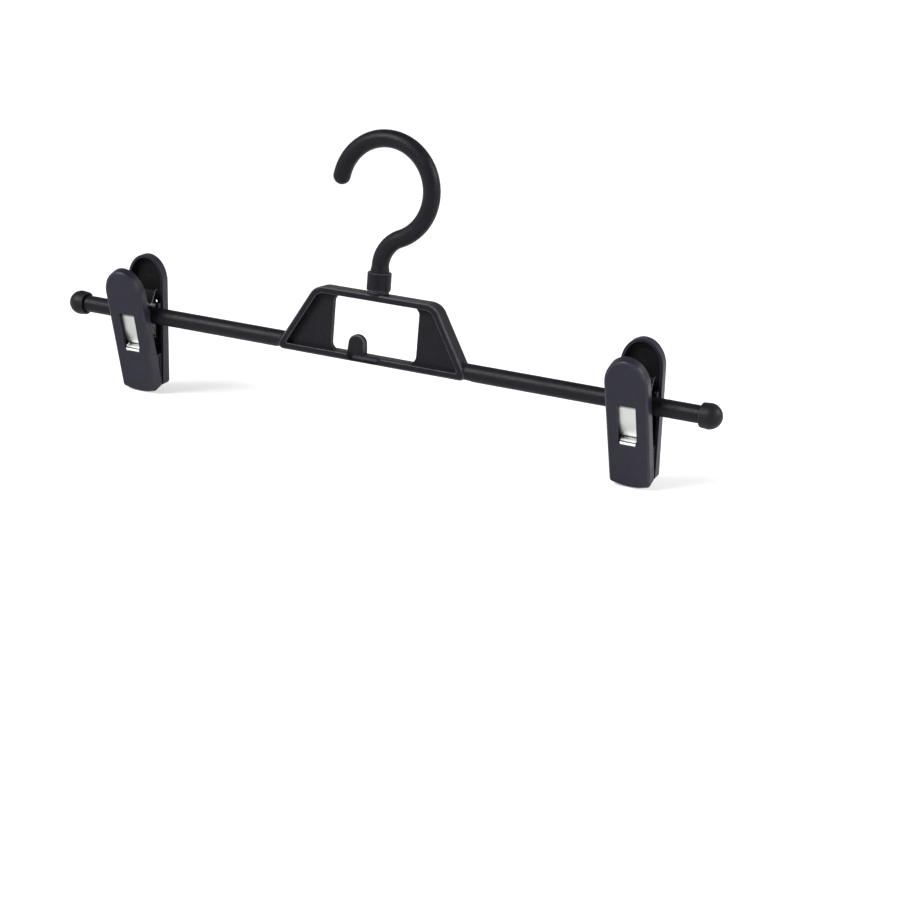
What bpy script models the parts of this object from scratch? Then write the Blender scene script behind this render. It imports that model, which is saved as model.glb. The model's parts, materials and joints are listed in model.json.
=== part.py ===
"""A trouser and skirt hanger: a bar with a bracket, a swivel hook and two sprung clips.

Lengths are in metres, +Z is up, X runs along the bar and -Y is the front. The origin
is where the rail meets the top of the hook's inside.
"""

import math

import bmesh
import bpy
from mathutils import Matrix, Vector

# Fits, and how far cutters and joined shapes reach
FIT_GAP = 0.0003
CUT_OVERRUN = 0.0010
WELD_DEPTH = 0.0004

# Bar and end caps
BAR_DIAMETER = 0.0080
BAR_LENGTH = 0.3250
BAR_ROOT_DIAMETER = 0.0062
BAR_ROOT_LENGTH = 0.0030
BAR_SIDES = 28
CAP_DIAMETER = 0.01157
CAP_MOUTH_DIAMETER = 0.0110
CAP_MOUTH_CHAMFER = 0.0004
CAP_SKIRT_LENGTH = 0.0035
CAP_BORE_DEPTH = 0.0053
CAP_SIDES = 28
CAP_DOME_STEPS = 7

# Bracket: a slanted rim round a thin web with a window in it
BRACKET_BOTTOM_WIDTH = 0.0992
BRACKET_TOP_WIDTH = 0.0610
BRACKET_HEIGHT = 0.0322
BRACKET_DROP = 0.00364
BRACKET_TOP_RADIUS = 0.0080
BRACKET_FOOT_RADIUS = 0.0025
RIM_THICKNESS = 0.00307
RIM_DEPTH = 0.00863
RIM_EDGE_RADIUS = 0.0004
RIM_INNER_FOOT_RADIUS = 0.0008
WEB_THICKNESS = 0.00232
WINDOW_WIDTH = 0.04364
WINDOW_RADIUS = 0.0034
WINDOW_STEP = 0.00025

# Tongue in the window, and the scoop in the rim before it, for a second hanger's hook
TONGUE_WIDTH = 0.0085
TONGUE_CENTRE_X = -0.00855
TONGUE_TOP = 0.0084
TONGUE_THICKNESS = 0.0037
TONGUE_FRONT_Y = -0.00185
TONGUE_EDGE_RADIUS = 0.0009
TONGUE_ROOT = 0.0016
SCOOP_RADIUS = 0.0026
SCOOP_LEFT_X = -0.0116
SCOOP_RIGHT_X = 0.0056
SCOOP_STEP = 0.00015
SCOOP_SIDES = 20

# Hook: a round rod bent to a circle, a reversed bend and a straight shank
HOOK_ROD_DIAMETER = 0.0080
HOOK_RADIUS = 0.0228
HOOK_CENTRE_HEIGHT = 0.0760
HOOK_TIP_ANGLE = math.radians(171)
NECK_RADIUS = 0.0150
HOOK_SIDES = 20
HOOK_STEP_ANGLE = math.radians(7)
TIP_STEPS = 4

# Shank, collar, stem and snap head of the hook, and the boss that the collar turns on
SHANK_DIAMETER = 0.0089
COLLAR_DIAMETER = 0.0111
COLLAR_TOP_HEIGHT = 0.0386
COLLAR_CHAMFER = 0.0006
COLLAR_SHOULDER = 0.0005
BOSS_DIAMETER = 0.0098
BOSS_HEIGHT = 0.0012
STEM_DIAMETER = 0.0050
HEAD_DIAMETER = 0.0064
HEAD_THICKNESS = 0.0011
HEAD_CHAMFER = 0.0003
SHOULDER_TAPER = 0.0002

# Clips: place along the bar, and turn on it
CLIP_FROM_BAR_END = 0.0352
LEFT_CLIP_TURN = math.radians(13.6)
RIGHT_CLIP_TURN = math.radians(15.9)

# Jaw: a shell with an arched top, a window for the spring and a ribbed grip pad
JAW_HALF_ANGLE = math.radians(7.8)
JAW_RISE = 0.0276
JAW_DROP = 0.0382
JAW_ARCH_RISE = 0.0125
JAW_TOP_WIDTH = 0.0199
JAW_BOTTOM_WIDTH = 0.0191
JAW_TOP_DEPTH = 0.0048
JAW_BOTTOM_DEPTH = 0.0062
JAW_EDGE_RADIUS = 0.0013
JAW_FACE_THICKNESS = 0.0016
JAW_WALL = 0.0015
JAW_TOE_SAG = 0.0018
JAW_CORNER_RADIUS = 0.0018
JAW_CLOSED_GAP = 0.0004
CAVITY_BOTTOM = -0.0195
CAVITY_CORNER_RADIUS = 0.0010
SPRING_WINDOW_WIDTH = 0.0084
SPRING_WINDOW_TOP = 0.0050
SPRING_WINDOW_BOTTOM = -0.0142
SPRING_WINDOW_RADIUS = 0.0006
LEDGE_HEIGHT = 0.0022
LEDGE_RECESS = 0.0009
EAR_THICKNESS = 0.0014
EAR_HEIGHT = 0.0104
EAR_REACH = 0.0026
PAD_TOP = -0.0202
PAD_BOTTOM = -0.0350
PAD_INSET = 0.0009
PAD_ROOT = 0.0010
PAD_RIDGES = 9
PAD_RIDGE_DEPTH = 0.0005

# Spring: one flat steel strip from ledge to ledge, dipping onto the bar between the jaws
STRIP_THICKNESS = 0.0005
STRIP_FOOT_WIDTH = 0.0072
STRIP_ARM_WIDTH = 0.0086
STRIP_CENTRE_WIDTH = 0.0136
STRIP_FOOT_BEND = 0.0005
STRIP_FOOT_SET = 0.0019
STRIP_TOUCH_HEIGHT = -0.0055
STRIP_TOUCH_BEND = 0.0200
STRIP_ARM_TOP = 0.0020
STRIP_ARM_BEND = 0.0040
STRIP_CREST_Y = 0.0066
STRIP_CREST_HEIGHT = 0.0128
STRIP_CREST_BEND = 0.0014
STRIP_DIP_BEND = 0.0025
STRIP_BAR_GAP = 0.0013
STRIP_SHOULDER = 0.0012
STRIP_SHOULDER_DROP = 0.0034

# Places that several pieces share
BAR_RADIUS = BAR_DIAMETER / 2
BAR_Z = HOOK_ROD_DIAMETER / 2 - HOOK_RADIUS - HOOK_CENTRE_HEIGHT
RIM_TOP = BRACKET_HEIGHT - BRACKET_DROP
RIM_UNDERSIDE = RIM_TOP - RIM_THICKNESS
FLOOR_TOP = RIM_THICKNESS - BRACKET_DROP
BOSS_TOP = RIM_TOP + BOSS_HEIGHT
JAW_SETBACK = JAW_DROP * math.tan(JAW_HALF_ANGLE) + JAW_CLOSED_GAP / 2
JAW_SHOULDER = JAW_RISE - JAW_ARCH_RISE
CLIP_CENTRE_X = BAR_LENGTH / 2 - CLIP_FROM_BAR_END

QUARTER = math.pi / 2
SMOOTH_ANGLE = math.radians(40)


def clear_scene():
    for obj in list(bpy.data.objects):
        bpy.data.objects.remove(obj, do_unlink=True)


def make_material(name, colour, roughness, metallic):
    material = bpy.data.materials.new(name)
    material.use_nodes = True
    shader = material.node_tree.nodes["Principled BSDF"]
    shader.inputs["Base Color"].default_value = (*colour, 1)
    shader.inputs["Roughness"].default_value = roughness
    shader.inputs["Metallic"].default_value = metallic
    return material


def finished_mesh(bm, name):
    """Turns the faces outwards, shades the round ones smooth and frees the bmesh."""
    bmesh.ops.recalc_face_normals(bm, faces=bm.faces)
    mesh = bpy.data.meshes.new(name)
    bm.to_mesh(mesh)
    bm.free()
    mesh.shade_smooth()
    mesh.set_sharp_from_angle(angle=SMOOTH_ANGLE)
    return mesh


def add_object(name, mesh):
    obj = bpy.data.objects.new(name, mesh)
    bpy.context.scene.collection.objects.link(obj)
    return obj


def add_piece(name, mesh, material, parent, place=(0, 0, 0), turn=(0, 0, 0)):
    if not mesh.materials:
        mesh.materials.append(material)
    obj = add_object(name, mesh)
    obj.parent = parent
    obj.location = place
    obj.rotation_euler = turn
    return obj


def add_anchor(name, place, turn=(0, 0, 0)):
    """An empty on a joint's axis, which carries the pieces of that joint."""
    anchor = add_object(name, None)
    anchor.location = place
    anchor.rotation_euler = turn
    return anchor


def shaped_mesh(name, blank, steps):
    """The blank's mesh after each (operation, solid) of the steps is joined to or cut from it."""
    body = add_object(name + "_blank", finished_mesh(blank, name + "_blank"))
    tools = []
    for number, (operation, solid) in enumerate(steps):
        tool = add_object(f"{name}_tool_{number}", finished_mesh(solid, f"{name}_tool_{number}"))
        tool.hide_render = True
        tool.display_type = "WIRE"
        boolean = body.modifiers.new(tool.name, "BOOLEAN")
        boolean.operation = operation
        boolean.object = tool
        boolean.solver = "EXACT"
        tools.append(tool)
    graph = bpy.context.evaluated_depsgraph_get()
    mesh = bpy.data.meshes.new_from_object(body.evaluated_get(graph))
    mesh.name = name
    for obj in [body, *tools]:
        bpy.data.objects.remove(obj, do_unlink=True)
    mesh.shade_smooth()
    mesh.set_sharp_from_angle(angle=SMOOTH_ANGLE)
    return mesh


def fillet(before, corner, after, radius, steps):
    """Points of the arc that rounds one corner of a flat path."""
    back = (before - corner).normalized()
    ahead = (after - corner).normalized()
    half = back.angle(ahead) / 2
    centre = corner + (back + ahead).normalized() * (radius / math.sin(half))
    start = corner + back * (radius / math.tan(half)) - centre
    sweep = math.pi - 2 * half
    turn = -sweep if back.x * ahead.y - back.y * ahead.x > 0 else sweep
    return [centre + Matrix.Rotation(turn * step / steps, 2) @ start for step in range(steps + 1)]


def rounded_outline(corners):
    """A closed outline from (x, z, radius, steps) corners."""
    spots = [Vector(corner[:2]) for corner in corners]
    points = []
    for index, (_, _, radius, steps) in enumerate(corners):
        before, after = spots[index - 1], spots[(index + 1) % len(spots)]
        points += fillet(before, spots[index], after, radius, steps)
    return points


def outline_solid(points, front, back):
    """An outline in the XZ plane, extruded along Y between two depths that follow the height."""
    bm = bmesh.new()
    face = bm.faces.new([bm.verts.new((point.x, front(point.y), point.y)) for point in points])
    extruded = bmesh.ops.extrude_face_region(bm, geom=[face])
    for item in extruded["geom"]:
        if isinstance(item, bmesh.types.BMVert):
            item.co.y = back(item.co.z)
    return bm


def level(depth):
    return lambda height: depth


def round_edges(bm, chosen, radius, steps):
    bmesh.ops.bevel(
        bm,
        geom=[edge for edge in bm.edges if all(chosen(vert.co) for vert in edge.verts)],
        offset=radius,
        segments=steps,
        profile=0.5,
        affect="EDGES",
    )


def skin_solid(loops):
    """A skin through closed loops of points, one after another, with flat ends."""
    bm = bmesh.new()
    edges = []
    for loop in loops:
        verts = [bm.verts.new(point) for point in loop]
        edges.append([bm.edges.new((verts[i - 1], verts[i])) for i in range(len(verts))])
    for lower, upper in zip(edges, edges[1:]):
        bmesh.ops.bridge_loops(bm, edges=lower + upper)
    for end in (edges[0], edges[-1]):
        bmesh.ops.edgeloop_fill(bm, edges=end)
    return bm


def ring(place, radius, sides):
    """The points of a circle that a matrix puts in place."""
    turns = [math.tau * side / sides for side in range(sides)]
    return [place @ Vector((radius * math.cos(turn), radius * math.sin(turn), 0)) for turn in turns]


def along_x(x, y, z):
    return Matrix.Translation((x, y, z)) @ Matrix.Rotation(QUARTER, 4, "Y")


def rod_along_x(stations, y, z, sides):
    """A turned rod along X from (x, radius) stations."""
    return skin_solid([ring(along_x(x, y, z), radius, sides) for x, radius in stations])


def upright_rod(low, high, diameter, sides):
    ends = [Matrix.Translation((0, 0, height)) for height in (low, high)]
    return skin_solid([ring(end, diameter / 2, sides) for end in ends])


def box_solid(low, high):
    bm = bmesh.new()
    size = Vector(high) - Vector(low)
    middle = (Vector(high) + Vector(low)) / 2
    bmesh.ops.create_cube(bm, size=1, matrix=Matrix.LocRotScale(middle, None, size))
    return bm


def bracket_half_width(height, inset=0):
    """Half the width between the slanted sides, at a height over the bar's axis."""
    lean = (BRACKET_BOTTOM_WIDTH - BRACKET_TOP_WIDTH) / 2 / BRACKET_HEIGHT
    foot = BRACKET_BOTTOM_WIDTH / 2 - inset * math.hypot(1, lean)
    return foot - lean * (height + BRACKET_DROP)


def bracket_outline(inset, foot_radius):
    """The bracket's outer outline, or the one that lies this far inside it."""
    top, bottom = RIM_TOP - inset, inset - BRACKET_DROP
    narrow, wide = bracket_half_width(top, inset), bracket_half_width(bottom, inset)
    top_radius = BRACKET_TOP_RADIUS - inset
    return rounded_outline(
        [
            (-wide, bottom, foot_radius, 3),
            (wide, bottom, foot_radius, 3),
            (narrow, top, top_radius, 6),
            (-narrow, top, top_radius, 6),
        ]
    )


def bracket_blank():
    front, back = -RIM_DEPTH / 2, RIM_DEPTH / 2
    bm = outline_solid(bracket_outline(0, BRACKET_FOOT_RADIUS), level(front), level(back))
    for depth in (front, back):
        round_edges(bm, lambda co: abs(co.y - depth) < RIM_EDGE_RADIUS / 2, RIM_EDGE_RADIUS, 2)
    return bm


def bracket_recess(side):
    """The hollow inside the rim, before the web (side -1) or behind it (side 1)."""
    outline = bracket_outline(RIM_THICKNESS, RIM_INNER_FOOT_RADIUS)
    depths = sorted((side * WEB_THICKNESS / 2, side * (RIM_DEPTH / 2 + CUT_OVERRUN)))
    return outline_solid(outline, level(depths[0]), level(depths[1]))


def bracket_window():
    half = WINDOW_WIDTH / 2
    low, high = FLOOR_TOP + WINDOW_STEP, RIM_UNDERSIDE - WINDOW_STEP
    corners = [(-half, low), (half, low), (half, high), (-half, high)]
    outline = rounded_outline([(*corner, WINDOW_RADIUS, 4) for corner in corners])
    return outline_solid(outline, level(-RIM_DEPTH / 2), level(RIM_DEPTH / 2))


def tongue():
    half = TONGUE_WIDTH / 2
    low = FLOOR_TOP - TONGUE_ROOT
    turns = [math.pi * step / 12 for step in range(13)]
    outline = [Vector((half * math.cos(turn), TONGUE_TOP - half + half * math.sin(turn))) for turn in turns]
    outline += [Vector((-half, low)), Vector((half, low))]
    front, back = TONGUE_FRONT_Y, TONGUE_FRONT_Y + TONGUE_THICKNESS
    bm = outline_solid(outline, level(front), level(back))
    for depth in (front, back):
        round_edges(
            bm,
            lambda co: abs(co.y - depth) < TONGUE_EDGE_RADIUS / 2 and co.z > FLOOR_TOP,
            TONGUE_EDGE_RADIUS,
            2,
        )
    bmesh.ops.translate(bm, verts=bm.verts, vec=(TONGUE_CENTRE_X, 0, 0))
    return bm


def scoop():
    """A round-ended trough along the rim's front edge, before the tongue."""
    stations = []
    for end, side in ((SCOOP_LEFT_X, 1), (SCOOP_RIGHT_X, -1)):
        turns = [QUARTER * step / 5 for step in range(1, 6)]
        stations += [
            (end + side * SCOOP_RADIUS * (1 - math.cos(turn)), SCOOP_RADIUS * math.sin(turn))
            for turn in turns
        ]
    centre_y = TONGUE_FRONT_Y - SCOOP_STEP - SCOOP_RADIUS
    return rod_along_x(sorted(stations), centre_y, FLOOR_TOP, SCOOP_SIDES)


def frame_bar(side):
    """One half of the bar, from inside the bracket's slanted leg to its end."""
    root = bracket_half_width(BAR_RADIUS) - WELD_DEPTH
    stations = [
        (side * root, BAR_ROOT_DIAMETER / 2),
        (side * (root + BAR_ROOT_LENGTH), BAR_RADIUS),
        (side * BAR_LENGTH / 2, BAR_RADIUS),
    ]
    return rod_along_x(sorted(stations), 0, 0, BAR_SIDES)


def make_frame(material):
    """Bar, bracket, web and tongue, moulded in one piece."""
    below, pocket_top = RIM_UNDERSIDE - CUT_OVERRUN, RIM_UNDERSIDE + HEAD_THICKNESS + FIT_GAP
    steps = [
        ("DIFFERENCE", bracket_recess(-1)),
        ("DIFFERENCE", bracket_recess(1)),
        ("DIFFERENCE", bracket_window()),
        ("DIFFERENCE", scoop()),
        ("UNION", tongue()),
        ("UNION", frame_bar(-1)),
        ("UNION", frame_bar(1)),
        ("UNION", upright_rod(RIM_TOP - WELD_DEPTH, BOSS_TOP, BOSS_DIAMETER, 24)),
        ("DIFFERENCE", upright_rod(below, BOSS_TOP + CUT_OVERRUN, STEM_DIAMETER + 2 * FIT_GAP, 20)),
        ("DIFFERENCE", upright_rod(below, pocket_top, HEAD_DIAMETER + 2 * FIT_GAP, 20)),
    ]
    mesh = shaped_mesh("hanger_frame", bracket_blank(), steps)
    add_piece("hanger_frame", mesh, material, add_anchor("swivel_axis", (0, 0, BAR_Z)))


def cap_mesh():
    """A domed cap turned round X, its mouth at zero and its dome towards +X."""
    bore, radius = BAR_RADIUS + FIT_GAP, CAP_DIAMETER / 2
    mouth = CAP_MOUTH_DIAMETER / 2
    profile = [(CAP_BORE_DEPTH, 0), (CAP_BORE_DEPTH, bore), (0, bore)]
    profile += [(0, mouth - CAP_MOUTH_CHAMFER), (CAP_MOUTH_CHAMFER, mouth)]
    for step in range(CAP_DOME_STEPS):
        turn = QUARTER * step / CAP_DOME_STEPS
        profile.append((CAP_SKIRT_LENGTH + radius * math.sin(turn), radius * math.cos(turn)))
    profile.append((CAP_SKIRT_LENGTH + radius, 0))
    bm = bmesh.new()
    verts = [bm.verts.new((x, 0, height)) for x, height in profile]
    edges = [bm.edges.new(pair) for pair in zip(verts, verts[1:])]
    bmesh.ops.spin(
        bm,
        geom=verts + edges,
        cent=(0, 0, 0),
        axis=(1, 0, 0),
        angle=math.tau,
        steps=CAP_SIDES,
        use_merge=True,
    )
    bmesh.ops.remove_doubles(bm, verts=bm.verts, dist=FIT_GAP / 10)
    return finished_mesh(bm, "end_cap")


def make_end_caps(material):
    """One moulding twice, each with the floor of its bore just off the bar's end."""
    mesh = cap_mesh()
    mouth_x = BAR_LENGTH / 2 + FIT_GAP - CAP_BORE_DEPTH
    for name, side, turn in (("end_cap_left", -1, math.pi), ("end_cap_right", 1, 0)):
        anchor = add_anchor(name + "_seat", (side * mouth_x, 0, BAR_Z))
        add_piece(name, mesh, material, anchor, turn=(0, 0, turn))


def across_path(x, z, heading):
    """The place of a ring round the hook's rod, where the rod runs at this heading."""
    ahead = Vector((math.cos(heading), 0, math.sin(heading)))
    side = Vector((0, 1, 0))
    turn = Matrix((side, ahead.cross(side), ahead)).transposed().to_4x4()
    return Matrix.Translation((x, 0, z)) @ turn


def upright_stations():
    """(height, diameter) up the snap head, the stem, the collar and the shank."""
    head_top, collar_foot = RIM_UNDERSIDE + HEAD_THICKNESS, BOSS_TOP + FIT_GAP
    return [
        (RIM_UNDERSIDE, HEAD_DIAMETER - 2 * HEAD_CHAMFER),
        (RIM_UNDERSIDE + HEAD_CHAMFER, HEAD_DIAMETER),
        (head_top, HEAD_DIAMETER),
        (head_top + SHOULDER_TAPER, STEM_DIAMETER),
        (collar_foot + SHOULDER_TAPER, STEM_DIAMETER),
        (collar_foot, COLLAR_DIAMETER - 2 * COLLAR_CHAMFER),
        (collar_foot + COLLAR_CHAMFER, COLLAR_DIAMETER),
        (COLLAR_TOP_HEIGHT - COLLAR_SHOULDER, COLLAR_DIAMETER),
        (COLLAR_TOP_HEIGHT, COLLAR_DIAMETER - 2 * COLLAR_SHOULDER),
        (COLLAR_TOP_HEIGHT + SHOULDER_TAPER, SHANK_DIAMETER),
    ]


def arc_places(x, z, radius, start, end, curl):
    """Ring places along an arc; curl is 1 where the path turns anticlockwise."""
    steps = math.ceil(abs(end - start) / HOOK_STEP_ANGLE)
    turns = [start + (end - start) * step / steps for step in range(steps + 1)]
    return [
        across_path(x + radius * math.cos(turn), z + radius * math.sin(turn), turn + curl * QUARTER)
        for turn in turns
    ]


def tip_rings(place):
    """Rings of the rod's half-round tip, which starts at this place."""
    rod = HOOK_ROD_DIAMETER / 2
    turns = [QUARTER * step / (TIP_STEPS + 1) for step in range(1, TIP_STEPS + 1)]
    return [
        ring(place @ Matrix.Translation((0, 0, rod * math.sin(turn))), rod * math.cos(turn), HOOK_SIDES)
        for turn in turns
    ]


def make_hook(material):
    """Snap head, stem, collar, shank, reversed bend, circle and tip, in one moulding."""
    join_height = HOOK_CENTRE_HEIGHT - math.sqrt(HOOK_RADIUS**2 + 2 * HOOK_RADIUS * NECK_RADIUS)
    join = math.atan2(HOOK_CENTRE_HEIGHT - join_height, -NECK_RADIUS)
    bends = arc_places(NECK_RADIUS, join_height, NECK_RADIUS, math.pi, join, -1)
    bends += arc_places(0, HOOK_CENTRE_HEIGHT, HOOK_RADIUS, join - math.pi, HOOK_TIP_ANGLE, 1)[1:]
    loops = [
        ring(across_path(0, height, QUARTER), diameter / 2, HOOK_SIDES)
        for height, diameter in upright_stations()
    ]
    loops += [ring(place, HOOK_ROD_DIAMETER / 2, HOOK_SIDES) for place in bends]
    loops += tip_rings(bends[-1])
    mesh = finished_mesh(skin_solid(loops), "hook")
    add_piece("hook", mesh, material, None, place=(0, 0, BAR_Z))


def jaw_face(height):
    """How far forward a jaw's face lies at a height along the jaw."""
    slope = (JAW_BOTTOM_DEPTH - JAW_TOP_DEPTH) / (JAW_RISE + JAW_DROP)
    return -(JAW_SETBACK + JAW_TOP_DEPTH + slope * (JAW_RISE - height))


def jaw_floor(height):
    return jaw_face(height) + JAW_FACE_THICKNESS


def arch(half_width, rise):
    """The points over a jaw's shoulders, from the right side to the left."""
    turns = [math.pi * step / 18 for step in range(19)]
    return [Vector((half_width * math.cos(turn), JAW_SHOULDER + rise * math.sin(turn))) for turn in turns]


def jaw_outline():
    half_bottom, corner_height = JAW_BOTTOM_WIDTH / 2, JAW_TOE_SAG - JAW_DROP
    top = arch(JAW_TOP_WIDTH / 2, JAW_ARCH_RISE)
    toe_shares = (-0.7, -0.45, -0.2, 0.2, 0.45, 0.7)
    toe = [Vector((half_bottom * share, JAW_TOE_SAG * share**2 - JAW_DROP)) for share in toe_shares]
    right, left = Vector((half_bottom, corner_height)), Vector((-half_bottom, corner_height))
    points = fillet(top[-1], left, toe[0], JAW_CORNER_RADIUS, 3) + toe
    return points + fillet(toe[-1], right, top[0], JAW_CORNER_RADIUS, 3) + top


def jaw_blank():
    bm = outline_solid(jaw_outline(), jaw_face, level(-JAW_SETBACK))
    round_edges(bm, lambda co: abs(co.y - jaw_face(co.z)) < JAW_EDGE_RADIUS / 2, JAW_EDGE_RADIUS, 3)
    return bm


def jaw_cavity():
    half = JAW_BOTTOM_WIDTH / 2 - JAW_WALL
    top = arch(JAW_TOP_WIDTH / 2 - JAW_WALL, JAW_ARCH_RISE - JAW_WALL)
    right, left = Vector((half, CAVITY_BOTTOM)), Vector((-half, CAVITY_BOTTOM))
    points = fillet(top[-1], left, right, CAVITY_CORNER_RADIUS, 2)
    points += fillet(left, right, top[0], CAVITY_CORNER_RADIUS, 2) + top
    return outline_solid(points, jaw_floor, level(CUT_OVERRUN - JAW_SETBACK))


def spring_window():
    half = SPRING_WINDOW_WIDTH / 2
    corners = [
        (-half, SPRING_WINDOW_BOTTOM),
        (half, SPRING_WINDOW_BOTTOM),
        (half, SPRING_WINDOW_TOP),
        (-half, SPRING_WINDOW_TOP),
    ]
    outline = rounded_outline([(*corner, SPRING_WINDOW_RADIUS, 2) for corner in corners])
    return outline_solid(
        outline,
        lambda height: jaw_face(height) - CUT_OVERRUN,
        lambda height: jaw_floor(height) + CUT_OVERRUN,
    )


def spring_ledge():
    """The step below the window, on which the spring's foot rests."""
    half = SPRING_WINDOW_WIDTH / 2
    low, high = SPRING_WINDOW_BOTTOM - LEDGE_HEIGHT, SPRING_WINDOW_BOTTOM + CUT_OVERRUN
    outline = [Vector((-half, low)), Vector((half, low)), Vector((half, high)), Vector((-half, high))]
    return outline_solid(
        outline,
        lambda height: jaw_face(height) - CUT_OVERRUN,
        lambda height: jaw_face(height) + LEDGE_RECESS,
    )


def jaw_ear(side):
    """A rib along the side wall that holds the bar in its saddle."""
    wall = JAW_TOP_WIDTH / 2 - JAW_WALL
    ends = sorted((side * (wall + WELD_DEPTH), side * (wall - EAR_THICKNESS)))
    floor = jaw_floor(0) - WELD_DEPTH
    half = EAR_HEIGHT / 2
    return box_solid((ends[0], floor, -half), (ends[1], EAR_REACH - JAW_SETBACK, half))


def grip_pad():
    """A wedge under the toe, whose ridged face lies along the clip's middle plane."""
    pitch = (PAD_TOP - PAD_BOTTOM) / PAD_RIDGES
    gap = JAW_CLOSED_GAP / 2 / math.cos(JAW_HALF_ANGLE)
    root = -JAW_SETBACK - PAD_ROOT
    profile = [Vector((root, PAD_TOP)), Vector((root, PAD_BOTTOM))]
    for number in range(PAD_RIDGES):
        foot = PAD_BOTTOM + number * pitch
        for height, depth in ((foot, PAD_RIDGE_DEPTH), (foot + pitch / 2, 0)):
            profile.append(Vector((height * math.tan(JAW_HALF_ANGLE) - gap - depth, height)))
    top_y = PAD_TOP * math.tan(JAW_HALF_ANGLE) - gap - PAD_RIDGE_DEPTH
    profile.append(Vector((top_y, PAD_TOP)))
    half = JAW_BOTTOM_WIDTH / 2 - PAD_INSET
    bm = outline_solid(profile, level(-half), level(half))
    bmesh.ops.rotate(bm, verts=bm.verts, cent=(0, 0, 0), matrix=Matrix.Rotation(QUARTER, 3, "Z"))
    return bm


def jaw_mesh():
    """One jaw with the bar's axis at zero, its face towards -Y and its mating edge upright."""
    saddle = BAR_RADIUS + FIT_GAP
    saddle_ends = [(-JAW_TOP_WIDTH / 2, saddle), (JAW_TOP_WIDTH / 2, saddle)]
    steps = [
        ("DIFFERENCE", jaw_cavity()),
        ("DIFFERENCE", spring_window()),
        ("DIFFERENCE", spring_ledge()),
        ("UNION", jaw_ear(-1)),
        ("UNION", jaw_ear(1)),
        ("UNION", grip_pad()),
        ("DIFFERENCE", rod_along_x(saddle_ends, 0, 0, BAR_SIDES)),
    ]
    return shaped_mesh("jaw", jaw_blank(), steps)


def turned_point(depth, height):
    """A point of the back jaw's own frame, in the frame of the closed clip, as (y, z)."""
    return Matrix.Rotation(-JAW_HALF_ANGLE, 2) @ Vector((depth, height))


def strip_corners():
    """(corner, bend, half width) in (y, z), from the back jaw's ledge to the crest."""
    half = STRIP_THICKNESS / 2
    low = SPRING_WINDOW_BOTTOM - LEDGE_HEIGHT + FIT_GAP
    high = SPRING_WINDOW_BOTTOM + FIT_GAP + half
    ledge, arm = FIT_GAP + half - LEDGE_RECESS, -FIT_GAP - half
    inner = turned_point(arm - STRIP_FOOT_SET - jaw_floor(high), high)
    touch = turned_point(arm - jaw_floor(STRIP_TOUCH_HEIGHT), STRIP_TOUCH_HEIGHT)
    arm_top = turned_point(arm - jaw_floor(STRIP_ARM_TOP), STRIP_ARM_TOP)
    crest = Vector((STRIP_CREST_Y, STRIP_CREST_HEIGHT))
    leg = (arm_top - crest).normalized()
    foot, narrow, wide = STRIP_FOOT_WIDTH / 2, STRIP_ARM_WIDTH / 2, STRIP_CENTRE_WIDTH / 2
    return [
        (turned_point(ledge - jaw_face(low), low), 0, foot),
        (turned_point(ledge - jaw_face(high), high), STRIP_FOOT_BEND, foot),
        (inner, STRIP_FOOT_BEND, foot),
        (touch, STRIP_TOUCH_BEND, narrow),
        (arm_top, STRIP_ARM_BEND, narrow),
        (crest + leg * (STRIP_SHOULDER_DROP + STRIP_SHOULDER), 0, narrow),
        (crest + leg * STRIP_SHOULDER_DROP, 0, wide),
        (crest, STRIP_CREST_BEND, wide),
    ]


def strip_stations():
    """(middle, half width) along the whole strip, from the front ledge to the back one."""
    back = strip_corners()
    front = [(Vector((-spot.x, spot.y)), bend, width) for spot, bend, width in back]
    floor = BAR_RADIUS + STRIP_BAR_GAP + STRIP_THICKNESS / 2
    slope = math.atan2(STRIP_CREST_Y, STRIP_CREST_HEIGHT - floor + STRIP_DIP_BEND / 2)
    dip = Vector((0, floor - STRIP_DIP_BEND * (1 / math.sin(slope) - 1)))
    corners = front + [(dip, STRIP_DIP_BEND, STRIP_CENTRE_WIDTH / 2)] + back[::-1]
    stations = []
    for index, (spot, bend, width) in enumerate(corners):
        points = [spot]
        if bend:
            points = fillet(corners[index - 1][0], spot, corners[index + 1][0], bend, 4)
        stations += [(point, width) for point in points]
    return stations


def strip_mesh():
    stations = strip_stations()
    middles = [middle for middle, _ in stations]
    ahead = middles[1:] + middles[-1:]
    behind = middles[:1] + middles[:-1]
    loops = []
    for (middle, width), after, before in zip(stations, ahead, behind):
        run = (after - before).normalized()
        skin = Vector((-run.y, run.x)) * (STRIP_THICKNESS / 2)
        under, over = middle - skin, middle + skin
        loops.append(
            [(-width, *under), (width, *under), (width, *over), (-width, *over)]
        )
    return finished_mesh(skin_solid(loops), "spring")


def make_clips(plastic, steel):
    """One jaw moulding four times and one strip twice, each clip turned a little on the bar."""
    jaw, strip = jaw_mesh(), strip_mesh()
    for name, side, turn in (("left", -1, LEFT_CLIP_TURN), ("right", 1, RIGHT_CLIP_TURN)):
        axis = add_anchor(f"clip_axis_{name}", (side * CLIP_CENTRE_X, 0, BAR_Z), (turn, 0, 0))
        add_piece(f"front_jaw_{name}", jaw, plastic, axis, turn=(JAW_HALF_ANGLE, 0, 0))
        add_piece(f"back_jaw_{name}", jaw, plastic, axis, turn=(JAW_HALF_ANGLE, 0, math.pi))
        add_piece(f"spring_{name}", strip, steel, axis)


clear_scene()
make_frame(make_material("frame_plastic", (0.012, 0.012, 0.013), 0.42, 0))
make_end_caps(make_material("cap_plastic", (0.011, 0.011, 0.012), 0.40, 0))
make_hook(make_material("hook_plastic", (0.012, 0.012, 0.013), 0.38, 0))
make_clips(
    make_material("jaw_plastic", (0.017, 0.016, 0.021), 0.36, 0),
    make_material("spring_steel", (0.72, 0.73, 0.74), 0.24, 1),
)
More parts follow.
